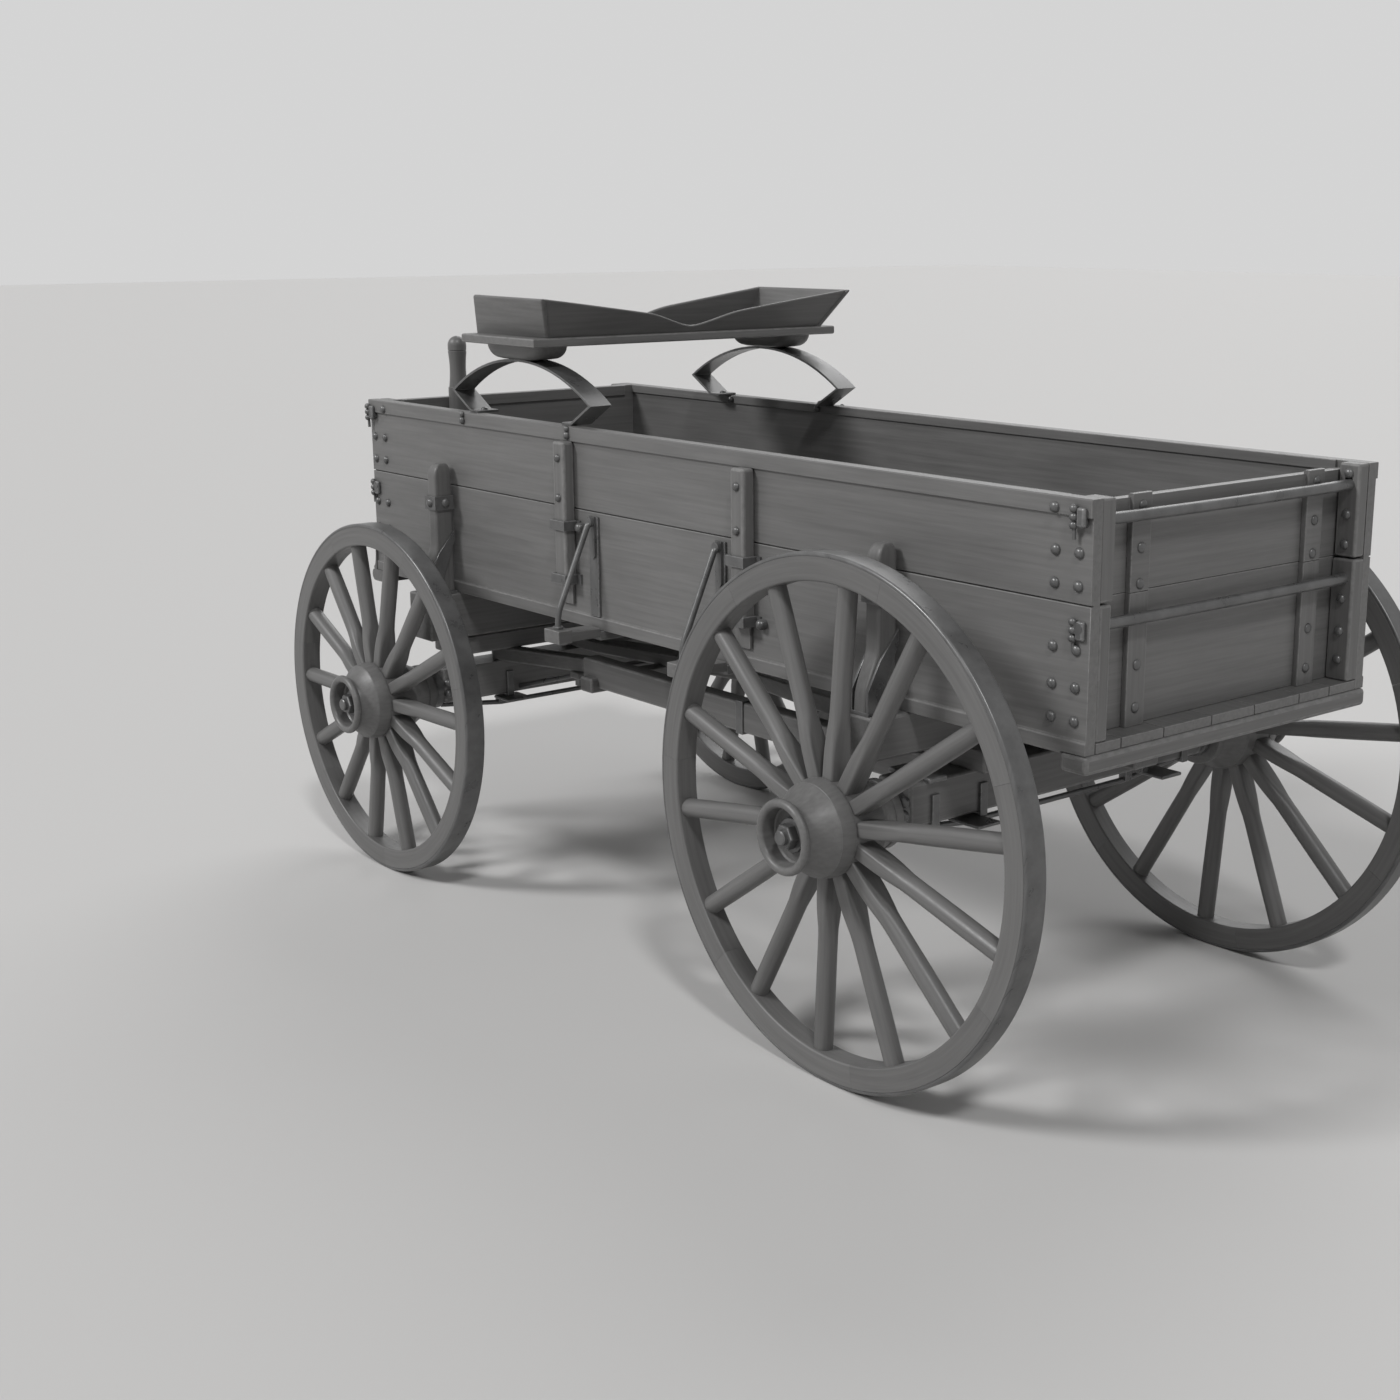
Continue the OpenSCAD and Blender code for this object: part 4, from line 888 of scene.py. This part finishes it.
GATE_BOLT_R, GATE_BOLT_H = 0.013, 0.0072
GATE_BOLT_YS = (0.302, -0.348)
GATE_BOLTS = (("gate_upper", "upper_gate", (1.447, 1.351, 1.268)),
              ("gate_lower", "lower_gate", (1.079, 0.978)))
for node, body, heights in GATE_BOLTS:
    gate_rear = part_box(node)[0].x
    gate_bolts = Shape()
    for y in GATE_BOLT_YS:
        for z in heights:
            bolt(gate_bolts, (gate_rear + BOLT_SINK, y, z), -X, GATE_BOLT_R, GATE_BOLT_H)
    gate_bolts.make(node + "_bolts", body, "iron")

CLEAT_HEIGHTS = (1.460, 1.357, 1.282, 1.144, 1.062, 0.988)
CLEAT_FACE_Y = 0.453
CLEAT_BOLT_IN = 0.031
CLEAT_BOLT_R, CLEAT_BOLT_H = 0.013, 0.011
cleat_bolts = Shape()
for side in SIDES:
    for x in (box_rear + CLEAT_BOLT_IN, box_front - CLEAT_BOLT_IN):
        for z in CLEAT_HEIGHTS:
            at = (x, side * (CLEAT_FACE_Y + BOLT_SINK), z)
            bolt(cleat_bolts, at, -Y * side, CLEAT_BOLT_R, CLEAT_BOLT_H)
cleat_bolts.make("cleat_bolts", BODY, "iron")

# Post fittings and tongues

POST_W = 0.057
POST_BOLTS = (1.396, 1.280)
POST_BOLT_R, POST_BOLT_H = 0.0125, 0.0105
KNOB_STEPS = ((0.0150, 0.0), (0.0150, 0.011), (0.01425, 0.016), (0.0120, 0.0205), (0.00825, 0.0235),
              (0.00375, 0.025), (0.00075, 0.0253))
KNOBS = ((-0.0645, 1.037), (-0.0625, 1.196))
TONGUE_X = (-0.0165, 0.0445)
TONGUE_FOOT_Z = 0.962
TONGUE_LAP = 0.004
TONGUE_T = 0.011
TONGUE_ROUND = 0.003
post_low, post_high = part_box("side_posts")
post_xs = (post_low.x + POST_W / 2, post_high.x - POST_W / 2)
fittings = Shape()
tongues = Shape()
for side in SIDES:
    for x, (knob_x, knob_z) in zip(post_xs, KNOBS):
        for z in POST_BOLTS:
            at = (x, side * (post_high.y - BOLT_SINK), z)
            bolt(fittings, at, Y * side, POST_BOLT_R, POST_BOLT_H)
        turned(fittings, KNOB_STEPS, (x + knob_x, side * side_y, knob_z), Y * side)
        low = (x + TONGUE_X[0], side_y, TONGUE_FOOT_Z)
        high = (x + TONGUE_X[1], side_y + TONGUE_T, post_low.z + TONGUE_LAP)
        side_block(tongues, side, low, high, TONGUE_ROUND)
fittings.make("post_fittings", BODY, "iron")
tongues.make("post_tongues", BODY, "box_wood")

# Brace rods, each with an eye at its plate and a nut on the sill

BRACE_R = 0.009
BRACE_KNUCKLE = 0.0093
BRACE_W = 0.045
BRACE_EASE = 0.05
BRACE_EYE_DROP = 0.030
BRACE_EYE_RISE = 0.002
BRACE_SINK = 0.002
BRACE_OUT, BRACE_OUT_DROP = 0.012, 0.004
BRACE_BEND_RISE = 0.043
BRACE_FOOT_SINK = 0.010
BRACE_NUT_R, BRACE_NUT_H, BRACE_NUT_SINK = 0.016, 0.009, 0.001
EYE_STEPS = ((0.0125, 0.0), (0.0145, 0.001), (0.0145, 0.011), (0.0125, 0.0135), (0.002, 0.014))
brace_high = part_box("brace_rods")[1]
plate_low, plate_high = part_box("brace_plates")
brace_xs = (plate_low.x + BRACE_W / 2, plate_high.x - BRACE_W / 2)
sill_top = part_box("middle_sills")[1].z
bend_y = brace_high.y - BRACE_KNUCKLE
eye_z = split_z - BRACE_EYE_DROP
brace_corners = ((plate_high.y - BRACE_SINK, eye_z), (plate_high.y + BRACE_OUT, eye_z - BRACE_OUT_DROP),
                 (bend_y, sill_top + BRACE_BEND_RISE), (bend_y, sill_top - BRACE_FOOT_SINK))
braces = Shape()
for side in SIDES:
    for x in brace_xs:
        swept(braces, rounded_path([(x, side * y, z) for y, z in brace_corners], BRACE_EASE), BRACE_R)
        turned(braces, EYE_STEPS, (x, side * plate_high.y, eye_z + BRACE_EYE_RISE), Y * side)
        nut(braces, (x, side * bend_y, sill_top - BRACE_NUT_SINK), Z, BRACE_NUT_R, BRACE_NUT_H)
braces.make("brace_rods_iron", BODY, "iron", ("brace_rods",))

# Lever post: a base, a waisted shaft, a groove and a round head

LEVER_BASE_R = 0.034
LEVER_R = 0.031
LEVER_WAIST = 0.004
LEVER_BASE_RISE = 0.035
LEVER_HEAD_RISE = 0.156
LEVER_SHOULDER = ((LEVER_BASE_R, -0.003), (0.033, -0.0008))
LEVER_SHAFT_GAP = 0.003
LEVER_GROOVE = ((0.0294, -0.002), (0.0294, 0.0), (LEVER_R, 0.002))
LEVER_SHAFT_ROWS, LEVER_HEAD_STEPS = 16, 12
LEVER_TIP_R = 0.002
LEVER_AROUND = 40
lever_low, lever_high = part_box("rein_post")
lever_x, lever_y = (lever_low.x + lever_high.x) / 2, (lever_low.y + lever_high.y) / 2
base_z, head_z = top_z + LEVER_BASE_RISE, top_z + LEVER_HEAD_RISE
outline = [(LEVER_BASE_R, lever_low.z)] + [(r, base_z + h) for r, h in LEVER_SHOULDER]
for i in range(LEVER_SHAFT_ROWS + 1):
    t = i / LEVER_SHAFT_ROWS
    z = base_z + (head_z - LEVER_SHAFT_GAP - base_z) * t
    outline.append((LEVER_R - LEVER_WAIST * math.sin(math.pi * t), z))
outline += [(r, head_z + h) for r, h in LEVER_GROOVE]
outline += arc(0, lever_high.z - LEVER_R, LEVER_R, 0, 90, LEVER_HEAD_STEPS)[:-1]
outline.append((LEVER_TIP_R, lever_high.z))
lever = Shape()
turned(lever, outline, (lever_x, lever_y, 0), Z, LEVER_AROUND)
lever.make("lever_post_timber", BODY, "gear_wood", ("rein_post",))

# Seat: flared tray with dipping back and front, blocks under the plank, spring bolts, rail clips

TRAY_T = 0.016
TRAY_LAP = 0.0144
TRAY_DIP_SHARE = 0.667
TRAY_NOTCH_SHARE = 0.178
TRAY_NOTCH_L_SHARE = 0.34
TRAY_NOTCH_SOFT = 0.03
TRAY_REAR = ((-0.187, -0.262), (0.530, 0.592))
TRAY_FRONT = ((0.186, 0.156), (0.530, 0.558))
TRAY_EDGE = ((0.005, 0.005), (0.0035, 0.0015))
TRAY_ROWS, TRAY_END_ROWS = 30, 12
TRAY_TOP_STEPS = 6
TRAY_TONE = 0.02
plank_low, plank_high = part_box("seat_plank")
seat_x = (plank_low.x + plank_high.x) / 2
tray_low, tray_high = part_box("seat_tray")
tray_h = tray_high.z - tray_low.z


def tray_top(t):
    """Height of the back or front panel, as a share, at a share of its half length."""
    t = math.hypot(t, TRAY_NOTCH_SOFT)
    notch = (1 + math.cos(math.pi * min(1.0, t / TRAY_NOTCH_L_SHARE))) / 2
    return min(1.0, 1 - TRAY_DIP_SHARE * (1 - t) - TRAY_NOTCH_SHARE * notch)


def panel_ring(place, thick, top):
    """An upright panel's cross section: place(depth, height) gives points, depth 0 is outside."""
    r = thick / 2
    loop = [place(0, 0), place(0, top - r)]
    for i in range(1, TRAY_TOP_STEPS):
        a = math.pi * i / TRAY_TOP_STEPS
        loop.append(place(r - r * math.cos(a), top - r + r * math.sin(a)))
    return loop + [place(thick, top - r), place(thick, 0)]


def flared(ends, z):
    """A measure that runs from the tray's foot to its top."""
    return ends[0] + (ends[1] - ends[0]) * z / tray_h


def long_panel(corner, inward, t):
    """A section of the back or front panel, at a share of its half length."""
    xs, ys = corner

    def place(depth, z):
        x = seat_x + flared(xs, z) + inward * depth
        return (x, t * (flared(ys, z) - TRAY_LAP), tray_low.z + z)

    return panel_ring(place, TRAY_T, tray_h * tray_top(abs(t)))


def end_panel(side, share, past, inset):
    """A section of a side panel, at a share of the way from the back to the front."""

    def place(depth, z):
        rear_x, rear_y = (flared(ends, z) for ends in TRAY_REAR)
        fore_x, fore_y = (flared(ends, z) for ends in TRAY_FRONT)
        x = seat_x + rear_x + (fore_x - rear_x) * share + past
        y = rear_y + (fore_y - rear_y) * share - inset - depth
        return (x, side * y, tray_low.z + z)

    return panel_ring(place, TRAY_T - 2 * inset, tray_h - inset)


tray = Shape()
for corner, inward in ((TRAY_REAR, 1), (TRAY_FRONT, -1)):
    shares = [i / TRAY_ROWS for i in range(-TRAY_ROWS, TRAY_ROWS + 1)]
    lofted(tray, [long_panel(corner, inward, t) for t in shares], 1, TRAY_TONE)
stations = [(0.0, -past, inset) for past, inset in TRAY_EDGE]
stations += [(i / TRAY_END_ROWS, 0.0, 0.0) for i in range(TRAY_END_ROWS + 1)]
stations += [(1.0, past, inset) for past, inset in reversed(TRAY_EDGE)]
for side in SIDES:
    lofted(tray, [end_panel(side, *station) for station in stations], 0, -TRAY_TONE)
tray.make("seat_tray_timber", BODY, "box_wood", ("seat_tray",))

BLOCK_MORE = 0.012
BLOCK_HALF_W = 0.0685
BLOCK_FOOT_SHARE = 0.72
BLOCK_END_RUN = 0.062
BLOCK_SEAT = 0.0437
BLOCK_ROWS = 13
BLOCK_AROUND = 56
BLOCK_SQUARE = 5.0
block_low, block_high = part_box("spring_blocks")
block_half_l = (block_high.x - block_low.x) / 2 + BLOCK_MORE
spring_y = block_high.y - BLOCK_HALF_W + BLOCK_MORE / 2
blocks = Shape()
for side in SIDES:
    rings = []
    for i in range(BLOCK_ROWS + 1):
        t = i / BLOCK_ROWS
        curve = math.sqrt(1 - (1 - t) ** 2)
        half_l = block_half_l - BLOCK_END_RUN * (1 - curve)
        half_w = BLOCK_HALF_W * (BLOCK_FOOT_SHARE + (1 - BLOCK_FOOT_SHARE) * curve)
        middle = (seat_x, side * spring_y, plank_low.z - BLOCK_SEAT * (1 - t))
        rings.append(ring(middle, X, Y, half_l, half_w, BLOCK_AROUND, BLOCK_SQUARE))
    lofted(blocks, rings, 0)
blocks.make("spring_blocks_timber", BODY, "gear_wood", ("spring_blocks",))

SPRING_BOLT_DX = 0.255
SPRING_BOLT_R, SPRING_BOLT_H = 0.011, 0.008
SPRING_T = 0.008
SEAT_CLIP_DX = 0.2905
SEAT_CLIP_OUT = 0.003
SEAT_CLIP_KNOBS = ((1.479, 0.0085, (1.1, 1.0, 1.1)), (1.460, 0.011, (1.0, 0.95, 1.1)))
SEAT_HOOK_DX = 0.225
SEAT_HOOK_Y = 0.4837
SEAT_HOOK_DROP = 0.013
SEAT_HOOK_R = 0.011
seat_iron = Shape()
for side in SIDES:
    for ahead in (1, -1):
        at = (seat_x + ahead * SPRING_BOLT_DX, side * spring_y, top_z + SPRING_T - BOLT_SINK)
        bolt(seat_iron, at, Z, SPRING_BOLT_R, SPRING_BOLT_H)
        for z, knob_r, stretch in SEAT_CLIP_KNOBS:
            at = (seat_x + ahead * SEAT_CLIP_DX, side * (rail_y + SEAT_CLIP_OUT), z)
            ball(seat_iron, at, knob_r, stretch)
        at = (seat_x + ahead * SEAT_HOOK_DX, side * SEAT_HOOK_Y, top_z - SEAT_HOOK_DROP)
        ball(seat_iron, at, SEAT_HOOK_R)
seat_iron.make("seat_clips", BODY, "iron")

# Stakes: flared feet, soft edges, domed tops, and round bolts on their bands

STAKE_W = 0.050
STAKE_IN, STAKE_FACE = 0.534, 0.594
STAKE_MID = (STAKE_IN + STAKE_FACE) / 2
STAKE_FOOT_RISE, STAKE_FLARE_RISE = 0.0528, 0.160
STAKE_FOOT_OUT = 0.040
STAKE_FLARE_RUN = (-0.2, 1.1)
STAKE_DOME_H = 0.040
STAKE_DOME_OUT, STAKE_DOME_IN, STAKE_DOME_SIDE = 0.030, 0.013, 0.013
STAKE_SQUARE = 7.0
STAKE_AROUND = 48
DOME_ROWS = 10
FLARE_ROWS = 6
STAKE_BAND_Z = 1.196
STAKE_BAND_T = 0.0070
STAKE_BAND_OUT = 0.6013
STAKE_BOLT_R, STAKE_BOLT_H = 0.0145, 0.0095
stake_low, stake_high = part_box("stakes")
stake_xs = (stake_low.x + STAKE_W / 2, stake_high.x - STAKE_W / 2)


def stake_rows():
    """Height, outer face, inner face and half width, from the foot to the top of the dome."""
    foot_out = STAKE_FACE + STAKE_FOOT_OUT
    rows = [(stake_low.z, foot_out, STAKE_IN, STAKE_W / 2)]
    for i in range(FLARE_ROWS + 1):
        t = i / FLARE_ROWS
        z = box_z + STAKE_FOOT_RISE + (STAKE_FLARE_RISE - STAKE_FOOT_RISE) * t
        outer = foot_out - STAKE_FOOT_OUT * smooth(t, *STAKE_FLARE_RUN)
        rows.append((z, outer, STAKE_IN, STAKE_W / 2))
    for i in range(DOME_ROWS + 1):
        t = math.sin(math.pi / 2 * i / DOME_ROWS)
        pull = 1 - math.sqrt(1 - t * t)
        rows.append((stake_high.z - STAKE_DOME_H * (1 - t), STAKE_FACE - STAKE_DOME_OUT * pull,
                     STAKE_IN + STAKE_DOME_IN * pull, STAKE_W / 2 - STAKE_DOME_SIDE * pull))
    return rows


stakes = Shape()
stake_iron = Shape()
for side in SIDES:
    for x in stake_xs:
        rings = []
        for z, outer, inner, half_w in stake_rows():
            middle = (x, side * (outer + inner) / 2, z)
            rings.append(ring(middle, X, Y, half_w, (outer - inner) / 2, STAKE_AROUND, STAKE_SQUARE))
        points, faces = loft(rings)
        stakes.add(points, faces, along(points, 2), tone_shift())
        at = (x, side * (STAKE_BAND_OUT - BOLT_SINK), STAKE_BAND_Z)
        bolt(stake_iron, at, Y * side, STAKE_BOLT_R, STAKE_BOLT_H)
        for face in (-1, 1):
            at = (x + face * (STAKE_W / 2 + STAKE_BAND_T), side * STAKE_MID, STAKE_BAND_Z)
            bolt(stake_iron, at, X * face, STAKE_BOLT_R, STAKE_BOLT_H)
stakes.make("stakes_timber", BODY, "gear_wood", ("stakes",))
stake_iron.make("stake_bolts", BODY, "iron")

# Side beams of the gear, from the rear axle to a cross bar below the reach, with a strap each

SIDE_BEAM_Y = (0.246, 0.306)
SIDE_BEAM_Z = (0.633, 0.722)
SIDE_BEAM_FRONT = 0.630
SIDE_BEAM_SINK = 0.004
BEAM_STRAP_X = (-0.186, -0.154)
BEAM_STRAP_Y = (0.241, 0.311)
BEAM_STRAP_Z = (0.628, 0.727)
BEAM_STRAP_ROUND = 0.0025
CROSS_BAR_LOW = (0.545, -0.332, 0.620)
CROSS_BAR_HIGH = (0.610, 0.332, 0.667)
BEAM_ROUND = 0.007
beam_xs = (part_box("rear_axle")[1].x - SIDE_BEAM_SINK, SIDE_BEAM_FRONT)
beam_ends = tuple(zip(beam_xs, SIDE_BEAM_Y, SIDE_BEAM_Z))
strap_ends = tuple(zip(BEAM_STRAP_X, BEAM_STRAP_Y, BEAM_STRAP_Z))
beams = Shape()
beam_straps = Shape()
for side in SIDES:
    side_block(beams, side, *beam_ends, BEAM_ROUND, tone_shift())
    side_block(beam_straps, side, *strap_ends, BEAM_STRAP_ROUND)
block(beams, CROSS_BAR_LOW, CROSS_BAR_HIGH, BEAM_ROUND)
beams.make("side_beams", BODY, "gear_wood")
beam_straps.make("side_beam_straps", BODY, "iron")

# Gear irons: caps over the axle clips, knobs on the skeins' root bands, foot plates under the clips

GEAR_IRONS = (
    ("front", FRONT, ((1.063, 0.544, 0.595), (1.063, 0.544, 0.560)),
     ((1.010, 0.260, 0.5095), (1.100, 0.350, 0.5183))),
    ("rear", BODY, ((-1.151, 0.581, 0.697), (-1.151, 0.581, 0.662)),
     ((-1.220, 0.310, 0.6035), (-1.110, 0.390, 0.6123))),
)
ROOT_KNOB_R = 0.015
FOOT_PLATE_ROUND = 0.003
CLIP_HALF_W = 0.013
CAP_HALF_W = 0.031
CAP_REACH = 0.014
CAP_H = (0.006, 0.009)
CAP_ROUND = 0.005
for end, body, knobs, foot_plate in GEAR_IRONS:
    irons = Shape()
    beam_low, beam_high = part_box(end + "_axle")
    clip_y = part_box(end + "_clips")[1].y - CLIP_HALF_W
    for side in SIDES:
        for x in (beam_low.x, beam_high.x):
            low = (x - CAP_REACH, side * clip_y - CAP_HALF_W, beam_high.z - CAP_H[0])
            high = (x + CAP_REACH, side * clip_y + CAP_HALF_W, beam_high.z + CAP_H[1])
            block(irons, low, high, CAP_ROUND)
    for side in SIDES:
        for x, y, z in knobs:
            ball(irons, (x, side * y, z), ROOT_KNOB_R)
        side_block(irons, side, *foot_plate, FOOT_PLATE_ROUND)
    irons.make(end + "_gear_irons", body, "iron")

# Camera, floor and light

CAMERA_AT = (-4.545, 3.786, 2.0774)
CAMERA_YAW, CAMERA_PITCH = -40.2539, -13.8169
CAMERA_LENS = 51.44
SENSOR = 36.0
CAMERA_SHIFT = (-0.0711, 0.0061)
camera_data = bpy.data.cameras.new("camera")
camera = put("camera", camera_data)
yaw, pitch = math.radians(CAMERA_YAW), math.radians(CAMERA_PITCH)
look = Vector((math.cos(yaw) * math.cos(pitch), math.sin(yaw) * math.cos(pitch), math.sin(pitch)))
camera.location = CAMERA_AT
camera.rotation_euler = look.to_track_quat("-Z", "Y").to_euler()
camera_data.sensor_width = SENSOR
camera_data.lens = CAMERA_LENS
camera_data.shift_x, camera_data.shift_y = CAMERA_SHIFT
bpy.context.scene.camera = camera

FLOOR_HALF = 60.0
FLOOR_GREY, FLOOR_WARMTH = 0.62, 0.01
FLOOR_ROUGHNESS = 0.75
floor_mesh = bpy.data.meshes.new("floor")
floor_mesh.from_pydata([(-FLOOR_HALF, -FLOOR_HALF, 0), (FLOOR_HALF, -FLOOR_HALF, 0),
                        (FLOOR_HALF, FLOOR_HALF, 0), (-FLOOR_HALF, FLOOR_HALF, 0)], [], [(0, 1, 2, 3)])
floor = put("floor", floor_mesh)
floor_paint = bpy.data.materials.new("pale_floor")
floor_paint.use_nodes = True
floor_shader = floor_paint.node_tree.nodes["Principled BSDF"]
floor_shader.inputs["Base Color"].default_value = grey(FLOOR_GREY, FLOOR_WARMTH)
floor_shader.inputs["Roughness"].default_value = FLOOR_ROUGHNESS
floor_mesh.materials.append(floor_paint)

LAMPS = (("key", (0.30, 0.72, 0.62), 1.65, 14.0), ("fill", (-0.56, 0.30, 0.77), 0.85, 7.0),
         ("side", (0.42, -0.68, 0.60), 0.8, 40.0))
for name, come_from, strength, soft_deg in LAMPS:
    lamp_data = bpy.data.lights.new(name, "SUN")
    lamp_data.energy = strength
    lamp_data.angle = math.radians(soft_deg)
    lamp = put(name, lamp_data)
    lamp.rotation_euler = (-Vector(come_from)).to_track_quat("-Z", "Y").to_euler()

SKY_LIGHT = 0.20
SKY_SHOWN = 0.66
world = bpy.data.worlds.new("studio")
world.use_nodes = True
sky = world.node_tree
light_path = sky.nodes.new("ShaderNodeLightPath")
seen = sky.nodes.new("ShaderNodeMath")
seen.operation = "MAXIMUM"
shown = sky.nodes.new("ShaderNodeMath")
shown.operation = "MAXIMUM"
level = sky.nodes.new("ShaderNodeMapRange")
level.inputs["To Min"].default_value = SKY_LIGHT
level.inputs["To Max"].default_value = SKY_SHOWN
sky.links.new(light_path.outputs["Is Camera Ray"], seen.inputs[0])
sky.links.new(light_path.outputs["Is Glossy Ray"], seen.inputs[1])
sky.links.new(seen.outputs[0], shown.inputs[0])
sky.links.new(light_path.outputs["Is Transmission Ray"], shown.inputs[1])
sky.links.new(shown.outputs[0], level.inputs["Value"])
sky.links.new(level.outputs["Result"], sky.nodes["Background"].inputs["Strength"])
sky.nodes["Background"].inputs["Color"].default_value = grey(1.0)
bpy.context.scene.world = world
bpy.context.scene.view_settings.view_transform = "Standard"
